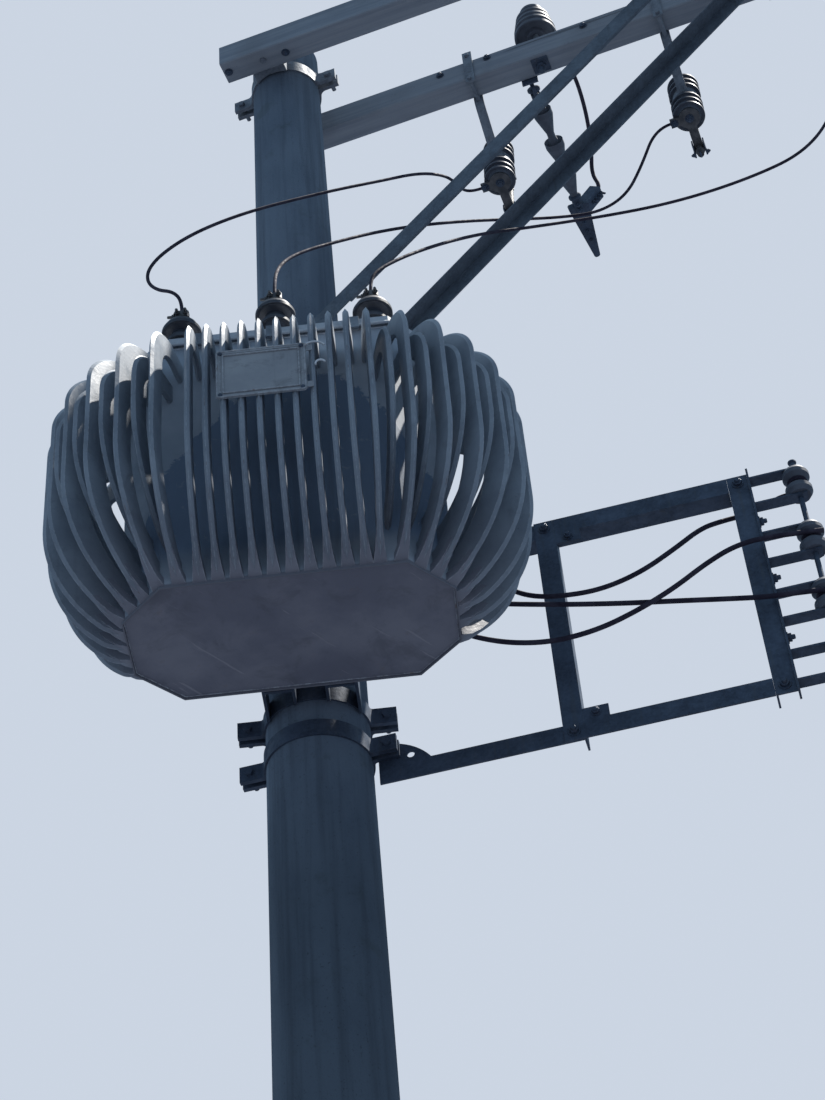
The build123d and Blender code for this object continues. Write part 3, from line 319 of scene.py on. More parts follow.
def wall_finish():
    """The tank's wall: grey paint above, a large dark arch with ragged edges below the plate."""
    f = Finish("dark_arch_paint", roughness=0.65, specular=0.3)
    base = f.mix(f.ramp(f.noise(4.5, 6, 0.62), 0.36, 0.64), (0.3, 0.35, 0.415), (0.385, 0.43, 0.49))
    # A darker arch below the plate, with ragged edges and lighter wisps inside it.
    across = f.sum(f.along("X"), -ARCH_MIDDLE)
    drop = f.times(f.times(across, across), ARCH_FALL)
    ragged = f.sum(f.times(f.noise(7, 8, 0.7, warp=0.9), 0.3), f.times(f.noise(42, 5, 0.7, warp=0.5), 0.07))
    level = f.sum(f.sum(f.along("Z"), drop), ragged)
    dark = f.times(f.ramp(level, ARCH_TOP + 0.18, ARCH_TOP + 0.2, 1.0, 0.0), f.ramp(f.along("Z"), 6.03, 6.13))
    base = f.mix(f.times(dark, 0.93), base, (0.15, 0.208, 0.3))
    wisp = f.times(dark, f.ramp(f.noise(15, 8, 0.72, warp=1.2), 0.6, 0.66))
    base = f.mix(f.times(wisp, 0.5), base, (0.28, 0.33, 0.39))
    scratch = f.ramp(f.noise(34, 4, 0.6, stretch=(1, 1, 0.35), warp=1.5), 0.69, 0.705)
    base = f.mix(f.times(scratch, 0.7), base, (0.42, 0.45, 0.5))
    run = f.ramp(f.noise(40, 4, 0.6, stretch=(1, 1, 0.05)), 0.54, 0.74)
    base = f.mix(f.times(run, 0.25), base, (0.1, 0.115, 0.14))
    base = f.mix(f.ramp(f.along("Z"), 5.984, 5.992, 0.9, 0.0), base, (0.15, 0.148, 0.175))
    f.bump(dark, 0.0008, 0.4)
    f.bump(scratch, 0.001, 0.6)
    f.bump(f.noise(80, 4), 0.001, 0.35)
    return f.done(base)


def floor_finish():
    """The tank's underside: pale paint, scratched, with brown stains."""
    f = Finish("underside_paint", roughness=0.6, specular=0.35)
    base = f.mix(f.ramp(f.noise(4, 5, 0.6), 0.35, 0.65), (0.164, 0.169, 0.212), (0.236, 0.239, 0.281))
    stain = f.ramp(f.noise(7, 6, 0.66, warp=0.5), 0.5, 0.68)
    base = f.mix(f.times(stain, 0.45), base, (0.1, 0.102, 0.125))
    brown = f.ramp(f.noise(16, 6, 0.7), 0.6, 0.72)
    base = f.mix(f.times(brown, 0.3), base, (0.164, 0.134, 0.127))
    turn = f.add("ShaderNodeMapping")
    f.link(f.place, turn.inputs["Vector"])
    turn.inputs["Rotation"].default_value = (0, 0, math.radians(-48))
    f.place = turn.outputs["Vector"]
    scratch = f.ramp(f.noise(34, 4, 0.6, stretch=(0.09, 1, 1), warp=0.3), 0.635, 0.67)
    base = f.mix(f.times(scratch, 0.55), base, (0.34, 0.335, 0.37))
    f.bump(f.noise(85, 5, 0.6), 0.001, 0.45)
    f.bump(scratch, -0.0008, 0.6)
    return f.done(base)


def galvanised_finish(name, light, dark, rust_share):
    """Dull zinc with faint spangle, dark weathering and rust that starts at edges."""
    f = Finish(name, roughness=0.55, metallic=0.35, specular=0.4)
    base = f.mix(f.ramp(f.noise(9, 6, 0.62), 0.36, 0.64), dark, light)
    spangle = f.add("ShaderNodeSeparateColor")
    f.link(f.cells(140), spangle.inputs[0])
    base = f.mix(f.times(spangle.outputs[0], 0.22), base, tuple(c * 1.8 for c in light))
    run = f.ramp(f.noise(60, 4, 0.6, stretch=(1, 1, 0.06)), 0.52, 0.72)
    base = f.mix(f.times(run, 0.4), base, (0.078, 0.087, 0.099))
    worn_edge = f.times(f.edges(0.003), f.ramp(f.noise(48, 5), 0.5, 0.64))
    rust = f.most(f.ramp(f.noise(23, 7, 0.7), 0.63, 0.74), worn_edge)
    base = f.mix(f.times(rust, rust_share), base, (0.169, 0.098, 0.06))
    f.bump(f.noise(130, 4, 0.6), 0.0009, 0.4)
    f.bump(f.noise(22, 4), 0.0016, 0.3)
    return f.done(base, f.ramp(f.noise(30, 5), 0.3, 0.7, 0.42, 0.72))


def porcelain_finish(name, colour, glow):
    """Dark glaze gone dull outdoors, with dust in its hollows."""
    f = Finish(name, roughness=0.5, specular=0.3)
    base = f.mix(f.ramp(f.noise(24, 4), 0.35, 0.65), colour, glow)
    base = f.mix(f.times(f.edges(0.004), 0.3), base, tuple(min(1.0, c * 1.5) for c in glow))
    dust = f.times(f.facing((0, 0, 1), 0.2, 0.95), f.ramp(f.noise(60, 5), 0.4, 0.7))
    base = f.mix(f.times(dust, 0.2), base, (0.12, 0.128, 0.14))
    f.bump(f.noise(45, 3), 0.0008, 0.3)
    return f.done(base, f.ramp(f.noise(35, 4), 0.3, 0.7, 0.42, 0.66))


def cable_finish():
    """Black covering gone purplish and dusty."""
    f = Finish("cable_cover", roughness=0.75, specular=0.2)
    base = f.mix(f.ramp(f.noise(20, 5), 0.4, 0.65), (0.026, 0.022, 0.038), (0.05, 0.044, 0.066))
    dust = f.times(f.facing((0, 0, 1), 0.3, 0.95), f.ramp(f.noise(80, 4), 0.4, 0.7))
    base = f.mix(f.times(dust, 0.3), base, (0.09, 0.085, 0.1))
    f.bump(f.noise(240, 3), 0.0004, 0.4)
    return f.done(base, f.ramp(f.noise(60, 3), 0.3, 0.7, 0.65, 0.9))


def bronze_finish():
    """Tinned bronze of terminals and contacts, darkened outdoors."""
    f = Finish("terminal_bronze", roughness=0.5, metallic=0.6, specular=0.4)
    base = f.mix(f.ramp(f.noise(30, 5), 0.36, 0.64), (0.07, 0.073, 0.08), (0.135, 0.135, 0.14))
    green = f.ramp(f.noise(55, 5, 0.65), 0.58, 0.7)
    base = f.mix(f.times(green, 0.3), base, (0.1, 0.125, 0.115))
    base = f.mix(f.times(f.edges(0.002), 0.3), base, (0.2, 0.195, 0.19))
    f.bump(f.noise(200, 4), 0.0006, 0.45)
    return f.done(base, f.ramp(green, 0, 1, 0.42, 0.8))


def fuse_tube_finish():
    """Wound tube, dull and dark."""
    f = Finish("fuse_tube", roughness=0.6, specular=0.35)
    base = f.mix(f.ramp(f.noise(18, 5), 0.4, 0.62), (0.055, 0.056, 0.062), (0.095, 0.092, 0.095))
    wrap = f.ramp(f.noise(160, 3, 0.5, stretch=(1, 1, 6)), 0.45, 0.6)
    base = f.mix(f.times(wrap, 0.35), base, (0.13, 0.122, 0.12))
    f.bump(wrap, 0.0005, 0.5)
    return f.done(base)


def wear(node, material):
    """Gives a CAD node its finish in place of the plain one it came with."""
    mesh = nodes[node].data
    mesh.materials.clear()
    mesh.materials.append(material)


concrete = concrete_finish()
timber = timber_finish()
paint = paint_finish("tank_paint", (0.315, 0.36, 0.415), (0.225, 0.262, 0.312), 0.38)
zinc = galvanised_finish("galvanised", (0.215, 0.245, 0.285), (0.124, 0.14, 0.168), 0.35)
dark_zinc = galvanised_finish("galvanised_dark", (0.07, 0.095, 0.14), (0.042, 0.058, 0.088), 0.25)
brace_zinc = galvanised_finish("galvanised_brace", (0.122, 0.15, 0.185), (0.086, 0.106, 0.135), 0.25)
bushing_glaze = porcelain_finish("bushing_glaze", (0.036, 0.042, 0.056), (0.058, 0.067, 0.086))
grey_glaze = porcelain_finish("dark_glaze", (0.078, 0.09, 0.115), (0.105, 0.12, 0.15))
bronze = bronze_finish()
cable = cable_finish()
plate_paint = paint_finish("plate_paint", (0.352, 0.37, 0.392), (0.27, 0.287, 0.317), 0.7)
pale_paint = paint_finish("pale_paint", (0.285, 0.295, 0.345), (0.2, 0.21, 0.255), 0.4)
bright_paint = paint_finish("bright_paint", (0.8, 0.82, 0.84), (0.66, 0.69, 0.72), 0.2)

finishes = {
    "pole": concrete,
    "crossarm_front": timber,
    "crossarm_back": timber,
    "tank_wall": wall_finish(),
    "tank_floor": floor_finish(),
    "tank_cover": paint,
    "front_tubes": paint,
    "right_tubes": paint,
    "left_tubes": paint,
    "name_plate": plate_paint,
    "hv_bushings": bushing_glaze,
    "lv_bushings": grey_glaze,
    "cutout_insulators": grey_glaze,
    "pin_insulator": grey_glaze,
    "strain_insulator": grey_glaze,
    "spool_insulators": grey_glaze,
    "hv_terminals": bronze,
    "lv_terminals": bronze,
    "cutout_contacts": bronze,
    "cutout_fuse_tubes": fuse_tube_finish(),
    "brace_front": brace_zinc,
    "brace_back": brace_zinc,
    "frame_arms": dark_zinc,
    "frame_bars": dark_zinc,
    "frame_inner_post": dark_zinc,
    "frame_outer_post": dark_zinc,
    "secondary_rack": dark_zinc,
    "strain_clamp": dark_zinc,
    "pole_band_lower": dark_zinc,
    "frame_band_lower": dark_zinc,
    "frame_band_upper": dark_zinc,
    "hanger_lower": dark_zinc,
}
for name in nodes:
    wear(name, finishes.get(name, zinc))


# Leads: smooth lines whose control points are the routes' own, in millimetres

def lead(name, points, diameter, node):
    """Leads of one kind, a spline for each route, in place of their plain solids."""
    data = bpy.data.curves.new(name, "CURVE")
    data.dimensions = "3D"
    data.bevel_depth = diameter * MM / 2
    data.bevel_resolution = 4
    data.use_fill_caps = True
    data.resolution_u = 8
    for route in points:
        spline = data.splines.new("NURBS")
        spline.points.add(len(route) - 1)
        for point, place in zip(spline.points, route):
            point.co = (*(c * MM for c in place), 1.0)
        spline.order_u = 3
        spline.use_endpoint_u = True
    obj = bpy.data.objects.new(name, data)
    bpy.context.scene.collection.objects.link(obj)
    data.materials.append(cable)
    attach(obj, "root")
    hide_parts(node)


JUMPER_LEFT = [
    (-300, -594, 7216), (-300, -594, 7276),
    (-330, -580, 7345), (-382, -560, 7385), (-418, -540, 7455), (-420, -518, 7550), (-378, -495, 7655),
    (-295, -468, 7768), (-185, -430, 7880), (-70, -380, 7990), (55, -320, 8102), (185, -250, 8225),
    (325, -170, 8355), (460, -88, 8490), (550, 20, 8610), (595, 140, 8720),
    (634.4, 258.3, 8805.1), (692.2, 242.4, 8805.1),
]
JUMPER_CENTRE = [
    (-15, -624, 7216), (-15, -624, 7276),
    (-10, -565, 7420), (22, -528, 7515), (82, -470, 7622), (165, -400, 7737), (270, -310, 7880),
    (385, -218, 8015), (515, -118, 8148), (655, -20, 8268), (800, 62, 8357), (945, 120, 8418),
    (1090, 150, 8460), (1200, 140, 8530), (1270, 100, 8640),
    (1343.0, 63.1, 8805.1), (1400.8, 47.2, 8805.1),
]
JUMPER_RIGHT = [
    (273, -594, 7216), (273, -594, 7276),
    (300, -582, 7340), (372, -530, 7452), (450, -462, 7572), (540, -380, 7705), (655, -290, 7842),
    (790, -202, 7960), (935, -130, 8062), (1095, -88, 8128), (1275, -78, 8165), (1450, -86, 8200),
    (1620, -98, 8250), (1775, -108, 8320), (1890, -120, 8440), (1960, -130, 8600),
    (2051.6, -132.1, 8805.1), (2109.4, -148.0, 8805.1),
]
TAP_LINE = [
    (1157.4, 597.4, 9183.0), (1175.5, 595.0, 9206.8), (1149.4, 587.9, 9288), (1162.3, 540.8, 9381),
    (1158.7, 448.4, 9458), (1136.5, 330.1, 9496), (1108, 234.2, 9500), (1078.3, 149, 9488),
    (1042.8, 65.4, 9468), (986.5, -11, 9453), (915.1, 8.6, 9453),
]
LEAD_A = [
    (245, -150, 6581), (245, -150, 6530), (300, -150, 6470),
    (400, -150, 6440), (500, -151, 6405), (575, -154, 6355), (640, -160, 6305), (725, -168, 6285),
    (840, -178, 6284), (960, -188, 6325), (1070, -188, 6405), (1160, -175, 6490), (1230, -140, 6545),
    (1300, -127, 6572), (1375, -158, 6577), (1420, -190, 6577), (1495, -194, 6577),
]
LEAD_B = [
    (170, -150, 6581), (170, -150, 6490), (190, -160, 6420),
    (250, -168, 6362), (330, -172, 6325), (440, -175, 6300), (525, -175, 6280), (635, -180, 6255),
    (775, -185, 6230), (915, -200, 6200), (1050, -220, 6170), (1190, -238, 6140), (1290, -252, 6119),
    (1400, -259, 6117), (1500, -260, 6117),
]
LEAD_C = [
    (-190, -150, 6581), (-190, -150, 6490), (-170, -170, 6420),
    (-100, -190, 6330), (0, -205, 6270), (110, -210, 6230), (220, -209, 6212), (320, -204, 6200),
    (405, -201, 6172), (485, -200, 6125), (580, -201, 6092), (690, -207, 6078), (815, -216, 6097),
    (935, -228, 6145), (1045, -240, 6205), (1140, -248, 6275), (1235, -254, 6330), (1340, -259, 6347),
    (1490, -260, 6347),
]
lead("jumper_lines", [JUMPER_LEFT, JUMPER_CENTRE, JUMPER_RIGHT], 11, "jumpers")
lead("tap_line", [TAP_LINE], 16, "tap_lead")
lead("low_voltage_lines", [LEAD_A, LEAD_B, LEAD_C], 15, "lv_leads")


# Small fittings, in millimetres inside a frame of their own

ARM_HEIGHT = 9196
ARM_HALF_DEPTH = 56.5
ARM_INNER = 163
ARM_WIDTH = 92
RACK_YAW = math.radians(10)
TANK_CORNER = (-15, -464, 5974)
TANK_LENGTH = 894
TANK_WIDTH = 444
TANK_CHAMFER = 120
TANK_HEIGHT = 990


def frame_at(place, x, z):
    """A frame in metres whose local units are millimetres; x and z are directions."""
    z = Vector(z).normalized()
    x = (Vector(x) - z * Vector(x).dot(z)).normalized()
    turn = Matrix((x, z.cross(x), z)).transposed().to_4x4()
    return Matrix.Translation(Vector(place) * MM) @ turn @ Matrix.Scale(MM, 4)


def inside(frame, place, x=(1, 0, 0), z=(0, 0, 1)):
    """A frame given inside another one."""
    local = frame_at(place, x, z)
    local.translation = Vector(place)
    turn = (frame @ Matrix.Scale(1 / MM, 4)).to_3x3() @ (local @ Matrix.Scale(1 / MM, 4)).to_3x3()
    return Matrix.Translation(frame @ Vector(place)) @ turn.to_4x4() @ Matrix.Scale(MM, 4)


def turned_level(yaw, height):
    return frame_at((0, 0, height), (math.cos(yaw), -math.sin(yaw), 0), (0, 0, 1))


ARM = turned_level(ARM_YAW, ARM_HEIGHT)
RACK = turned_level(RACK_YAW, 0)
TANK = frame_at(TANK_CORNER, (1, 0, 0), (0, 0, 1))


def add_rings(bm, frame, rings):
    """Skin over rings of corners given in a frame, closed at both ends."""
    loops = [[bm.verts.new(frame @ Vector(corner)) for corner in ring] for ring in rings]
    count = len(rings[0])
    for low, high in zip(loops, loops[1:]):
        for i in range(count):
            j = (i + 1) % count
            bm.faces.new((low[i], low[j], high[j], high[i]))
    bm.faces.new(list(reversed(loops[0])))
    bm.faces.new(loops[-1])


def round_ring(radius, height, count, start=0.0):
    angles = [start + math.tau * i / count for i in range(count)]
    return [(radius * math.cos(angle), radius * math.sin(angle), height) for angle in angles]


def add_turned(bm, frame, outline, count=20):
    """Turned form about a frame's Z from its radii and heights."""
    add_rings(bm, frame, [round_ring(radius, height, count) for radius, height in outline])


def add_block(bm, frame, size, middle=(0, 0, 0), bevel=1.5):
    """Block with its top and bottom edges eased."""
    x, y, z = (s / 2 for s in size)
    rings = []
    for height, inset in ((-z, bevel), (-z + bevel, 0), (z - bevel, 0), (z, bevel)):
        u, v = x - inset, y - inset
        ring = [(u, v), (-u, v), (-u, -v), (u, -v)]
        rings.append([(middle[0] + a, middle[1] + b, middle[2] + height) for a, b in ring])
    add_rings(bm, frame, rings)


def add_bolt(bm, frame, across=24, tip=14, washer=True):
    """Washer, hexagonal nut with eased corners and the bolt's rounded tip."""
    base = 0
    if washer:
        add_turned(bm, frame, [(across * 0.72, 0), (across * 0.78, 0.8), (across * 0.76, 2.5)], 24)
        base = 2.5
    height = across * 0.42
    corner = across / math.sqrt(3)
    eased = ((0.94, 0), (1, 0.12), (1, 0.84), (0.9, 1))
    add_turned(bm, frame, [(corner * share, base + height * up) for share, up in eased], 6)
    stem = across * 0.32
    top = base + height + tip
    add_turned(bm, frame, [(stem, base + height - 1), (stem, top - 3), (stem * 0.75, top)], 14)


def piece(name, bm, material):
    """Makes a piece of a mesh, shaded smooth up to 35 degrees, that rides on the one body."""
    bmesh.ops.recalc_face_normals(bm, faces=bm.faces)
    mesh = bpy.data.meshes.new(name)
    bm.to_mesh(mesh)
    bm.free()
    mesh.materials.append(material)
    mesh.shade_smooth()
    mesh.set_sharp_from_angle(angle=math.radians(35))
    obj = bpy.data.objects.new(name, mesh)
    bpy.context.scene.collection.objects.link(obj)
    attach(obj, "root")


def bead(name, routes, radius, material, closed=True):
    """Rounded beads or wires along routes in metres."""
    data = bpy.data.curves.new(name, "CURVE")
    data.dimensions = "3D"
    data.bevel_depth = radius * MM
    data.bevel_resolution = 3
    data.use_fill_caps = True
    for route in routes:
        spline = data.splines.new("POLY")
        spline.points.add(len(route) - 1)
        for point, place in zip(spline.points, route):
            point.co = (*place, 1.0)
        spline.use_cyclic_u = closed
    data.materials.append(material)
    obj = bpy.data.objects.new(name, data)
    bpy.context.scene.collection.objects.link(obj)
    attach(obj, "root")


def octagon(grow, height):
    """The tank's plan, grown evenly, as points at a height above its floor."""
    x = TANK_LENGTH / 2 + grow
    y = TANK_WIDTH / 2 + grow
    cut = TANK_CHAMFER + grow * (2 - math.sqrt(2))
    corners = [(x, -y + cut), (x, y - cut), (x - cut, y), (-x + cut, y)]
    corners += [(-u, -v) for u, v in corners]
    return [TANK @ Vector((u, v, height)) for u, v in corners]


# Beads and welds round the tank

COVER_THICKNESS = 6
COVER_EDGE = 16
COVER_RIM = 26
COVER_RIM_FOOT = TANK_HEIGHT + COVER_THICKNESS - COVER_RIM
bead("cover_bead", [octagon(COVER_EDGE - 1, COVER_RIM_FOOT)], 5, paint)
bead("floor_weld", [octagon(-6, 7.5)], 2.2, pale_paint)
bead("wall_weld", [octagon(0.5, TANK_HEIGHT - 24)], 3, paint)


# Flared feet of the tubes where they meet the wall, just above the tank's lower edge

FRONT_TUBES = 10
TUBE_PITCH = 49
FAN_CENTRE = 230
FAN_TUBES = 9
FAN_STEP = 13.6
FAN_FIRST = {1: 6.7, -1: 11.5}
FOOT_WIDTH = 38
FOOT_TIP_WIDTH = 15
FOOT_REACH = 84
FOOT_LEVEL = 9
FOOT_DEPTH = 30


def wall_distance(x, direction):
    """Way from a point on the tank's long axis to its wall."""
    slant = math.sqrt(0.5)
    corner = (TANK_LENGTH / 2 + TANK_WIDTH / 2 - TANK_CHAMFER) * slant
    walls = [(u, 0, TANK_LENGTH / 2) for u in (-1, 1)] + [(0, v, TANK_WIDTH / 2) for v in (-1, 1)]
    walls += [(u * slant, v * slant, corner) for u in (-1, 1) for v in (-1, 1)]
    ways = []
    for u, v, reach in walls:
        slope = u * direction[0] + v * direction[1]
        if slope > 0.01:
            ways.append((reach - u * x) / slope)
    return min(ways)


def add_foot(bm, x, degrees):
    """A wedge, wide at the wall and narrow where it runs into the tube's lower edge."""
    angle = math.radians(degrees)
    out = (math.sin(angle), -math.cos(angle))
    start = wall_distance(x, out)
    frame = inside(TANK, (x, 0, 0), (out[0], out[1], 0))
    rings = []
    for share, up in ((-0.06, 0), (0.0, 0), (0.35, 0.2), (0.72, 0.55), (1.0, 0.9)):
        width = FOOT_WIDTH + (FOOT_TIP_WIDTH - FOOT_WIDTH) * max(0.0, share) ** 0.8
        along = start + FOOT_REACH * share
        low = FOOT_LEVEL + FOOT_REACH * up
        rings.append([
            (along, -width / 2, low), (along, width / 2, low),
            (along, width / 2 - 2, low + FOOT_DEPTH), (along, -width / 2 + 2, low + FOOT_DEPTH),
        ])
    add_rings(bm, frame, rings)


bm = bmesh.new()
first = -(FRONT_TUBES - 1) / 2 * TUBE_PITCH
for i in range(FRONT_TUBES):
    add_foot(bm, first + i * TUBE_PITCH, 0)
for side, start_angle in FAN_FIRST.items():
    for i in range(FAN_TUBES):
        add_foot(bm, side * FAN_CENTRE, side * (start_angle + i * FAN_STEP))
piece("tube_feet", bm, pale_paint)


# Trim of the bare plate: raised double border, corner rivets and two bent clips

PLATE_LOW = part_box("name_plate")[0] / MM
PLATE_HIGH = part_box("name_plate")[1] / MM
PLATE_FACE = PLATE_LOW[1]
PLATE_RIGHT = PLATE_HIGH[0] - 17


def plate_ring(inset, corner):
    """A rectangle with round corners in front of the plate, inset from its edge."""
    points = []
    left, right = PLATE_LOW[0] + inset + corner, PLATE_RIGHT - inset - corner
    low, high = PLATE_LOW[2] + inset + corner, PLATE_HIGH[2] - inset - corner
    for x, z, turn in ((right, high, 0), (left, high, 1), (left, low, 2), (right, low, 3)):
        for step in range(5):
            angle = math.pi / 2 * (turn + step / 4)
            point = (x + corner * math.cos(angle), PLATE_FACE, z + corner * math.sin(angle))
            points.append(Vector(point) * MM)
    return points


def arc(middle, across, up, radius, low, high, count=14):
    """Points round part of a circle, between two angles in degrees."""
    points = []
    for i in range(count + 1):
        angle = math.radians(low + (high - low) * i / count)
        points.append((Vector(middle) + Vector(across) * radius * math.cos(angle)
                       + Vector(up) * radius * math.sin(angle)) * MM)
    return points


bead("plate_border", [plate_ring(4, 7), plate_ring(20, 3)], 2.6, plate_paint)
bm = bmesh.new()
for x in (PLATE_LOW[0] + 12, PLATE_RIGHT - 12):
    for z in (PLATE_LOW[2] + 12, PLATE_HIGH[2] - 12):
        rivet = frame_at((x, PLATE_FACE, z), (1, 0, 0), (0, -1, 0))
        add_turned(bm, rivet, [(6.5, -1), (6.5, 1.5), (4.5, 4), (1.5, 5)], 16)
piece("plate_rivets", bm, dark_zinc)
clip_top = (PLATE_RIGHT + 22, PLATE_FACE + 1, PLATE_HIGH[2] - 32)
clip_side = (PLATE_RIGHT + 38, PLATE_FACE + 1, PLATE_HIGH[2] - 92)
bead("plate_clips", [
    arc(clip_top, (1, 0, 0), (0, 0, 1), 32, 25, 150),
    arc(clip_side, (1, 0, 0), (0, 0, 1), 13, 15, 200),
], 3, bright_paint, closed=False)


# Crossarm hardware: the pin's square washer below the arm, and through bolts

ARM_MIDDLE = ARM_INNER + ARM_WIDTH / 2
PIN_PLACE = 940
bm = bmesh.new()
pin_foot = inside(ARM, (PIN_PLACE, ARM_MIDDLE, -ARM_HALF_DEPTH), (1, 0, 0), (0, 0, -1))
add_block(bm, pin_foot, (64, 64, 6), (0, 0, 3))
add_bolt(bm, inside(pin_foot, (0, 0, 6)), 34, 26)
for along, across in ((-146, -211), (80, -209)):
    add_bolt(bm, inside(ARM, (along, across, -ARM_HALF_DEPTH), (1, 0, 0), (0, 0, -1)), 20, 4)
for along, up in ((1130, 22), (750, 33), (561, 24), (-110, 20)):
    add_bolt(bm, inside(ARM, (along, ARM_INNER, up), (1, 0, 0), (0, -1, 0)), 20, 3)
piece("crossarm_fasteners", bm, dark_zinc)


# Cutout hardware: a hood and pull ring at the top, cheeks and a hinge pin at the bottom

CUTOUT_PLACES = (675, 1410, 2145)
CUTOUT_OUT = 450
CUTOUT_DROP = 238
CUTOUT_TILT = math.radians(12)
CUTOUT_HALF = 150
CUTOUT_TUBE = 128


def cutout_frame(place):
    """A cutout's own frame, at its middle, with Z up its leaning insulator."""
    upward = (0, math.sin(CUTOUT_TILT), math.cos(CUTOUT_TILT))
    return inside(ARM, (place, CUTOUT_OUT, -CUTOUT_DROP), (1, 0, 0), upward)


bm = bmesh.new()
rings = []
for place in CUTOUT_PLACES:
    frame = cutout_frame(place)
    add_block(bm, frame, (46, 58, 5), (0, CUTOUT_TUBE - 6, CUTOUT_HALF + 16))
    for side in (-1, 1):
        add_block(bm, frame, (5, 54, 42), (side * 21, CUTOUT_TUBE - 4, -CUTOUT_HALF - 12))
        add_block(bm, frame, (5, 44, 22), (side * 21, CUTOUT_TUBE - 4, CUTOUT_HALF + 5))
        pin = (side * 23, CUTOUT_TUBE + 14, -CUTOUT_HALF - 22)
        add_bolt(bm, inside(frame, pin, (0, 1, 0), (side, 0, 0)), 14, 5)
    add_bolt(bm, inside(frame, (-58, 0, -CUTOUT_HALF - 12.5), (1, 0, 0), (0, 0, -1)), 20, 12)
    add_bolt(bm, inside(frame, (0, 0, CUTOUT_HALF + 12.5)), 22, 10)
    add_bolt(bm, inside(frame, (0, 0, -CUTOUT_HALF - 12.5), (1, 0, 0), (0, 0, -1)), 22, 10)
    centre = frame @ Vector((0, CUTOUT_TUBE + 30, CUTOUT_HALF - 22))
    across = (frame.to_3x3() @ Vector((0, 1, 0))).normalized()
    upward = (frame.to_3x3() @ Vector((0, 0, 1))).normalized()
    rings.append(arc(centre / MM, across, upward, 15, 0, 340, 20))
    toe = frame @ Vector((0, CUTOUT_TUBE, -CUTOUT_HALF - 62))
    rings.append(arc(toe / MM, across, upward, 9, 0, 340, 16))
piece("cutout_hinges", bm, dark_zinc)
bead("cutout_rings", rings, 3.5, dark_zinc)


# Terminal bolts

HV_PLACES = ((-300, -594), (-15, -624), (273, -594))
HV_CLAMP_LEVEL = 7204
LV_PLACES = (-260, -190, 170, 245)
LV_LUG_FACE = -146
LV_LUG_LEVEL = 6614
bm = bmesh.new()
for x, y in HV_PLACES:
    clamp = frame_at((x, y, HV_CLAMP_LEVEL), (1, 0, 0), (0, 0, 1))
    for side in (-1, 1):
        add_bolt(bm, inside(clamp, (side * 13, -13, 0), (1, 0, 0), (0, -1, 0)), 15, 11, washer=False)
    add_bolt(bm, inside(clamp, (-22, 0, 0), (0, 1, 0), (-1, 0, 0)), 15, 14)
for x in LV_PLACES:
    add_bolt(bm, frame_at((x, LV_LUG_FACE, LV_LUG_LEVEL), (1, 0, 0), (0, 1, 0)), 20, 10)
piece("terminal_bolts", bm, bronze)


# Strain clamp's bolts and pins

STRAIN_ROLL = math.radians(8)
STRAIN_DIP = math.radians(6)
STRAIN_PLACE = 880
STRAIN_LEVEL = -50
CLAMP_START = 556
CONNECTOR_START = 65
strain_x = (
    math.cos(STRAIN_ROLL),
    math.sin(STRAIN_ROLL) * math.sin(STRAIN_DIP),
    math.sin(STRAIN_ROLL) * math.cos(STRAIN_DIP),
)
strain_out = (0, math.cos(STRAIN_DIP), -math.sin(STRAIN_DIP))
STRAIN = inside(ARM, (STRAIN_PLACE, ARM_INNER + ARM_WIDTH, STRAIN_LEVEL), strain_x, strain_out)
connector = inside(STRAIN, (0, 0, CLAMP_START + CONNECTOR_START), (1, -1, 0))
bm = bmesh.new()
for along in (62, 82, 102, 120):
    add_bolt(bm, inside(connector, (along, 24, 0), (1, 0, 0), (0, 1, 0)), 15, 16, washer=False)
for along in (105, 150, 195):
    lower = inside(STRAIN, (0, 17, CLAMP_START + along), (1, 0, 0), (0, 1, 0))
    add_bolt(bm, lower, 15, 12, washer=False)
for along in (66, 110, CLAMP_START + 20, CLAMP_START + 44):
    add_bolt(bm, inside(STRAIN, (0, -22, along), (1, 0, 0), (0, -1, 0)), 16, 6)
    add_bolt(bm, inside(STRAIN, (0, 22, along), (1, 0, 0), (0, 1, 0)), 16, 8)
for along in (42, CLAMP_START - 14):
    add_turned(bm, inside(STRAIN, (0, 0, along)), [(17, 0), (25, 5), (25, 13), (17, 18)], 18)
piece("strain_fasteners", bm, dark_zinc)


# Binding wire round the spools and the pin insulator's neck

def coil(frame, radius, turns, pitch, steps=22):
    """A close coil about a frame's Z, in metres."""
    points = []
    for i in range(int(turns * steps) + 1):
        angle = math.tau * i / steps
        height = pitch * (i / steps - turns / 2)
        points.append(frame @ Vector((radius * math.cos(angle), radius * math.sin(angle), height)))
    return points


SPOOL_PLACE = (1474.3, 30)
SPOOL_LEVELS = (6117, 6347, 6577)
SPOOL_GROOVE = 25
PIN_NECK = 34
PIN_NECK_LEVEL = 257
ties = [coil(inside(RACK, (*SPOOL_PLACE, level)), SPOOL_GROOVE + 2.5, 3, 5) for level in SPOOL_LEVELS]
bead("spool_ties", ties, 2.4, cable, closed=False)
neck = inside(ARM, (PIN_PLACE, ARM_MIDDLE, PIN_NECK_LEVEL))
bead("neck_tie", [coil(neck, PIN_NECK + 2.5, 3, 5)], 2.4, cable, closed=False)


# Frame and rack bolts

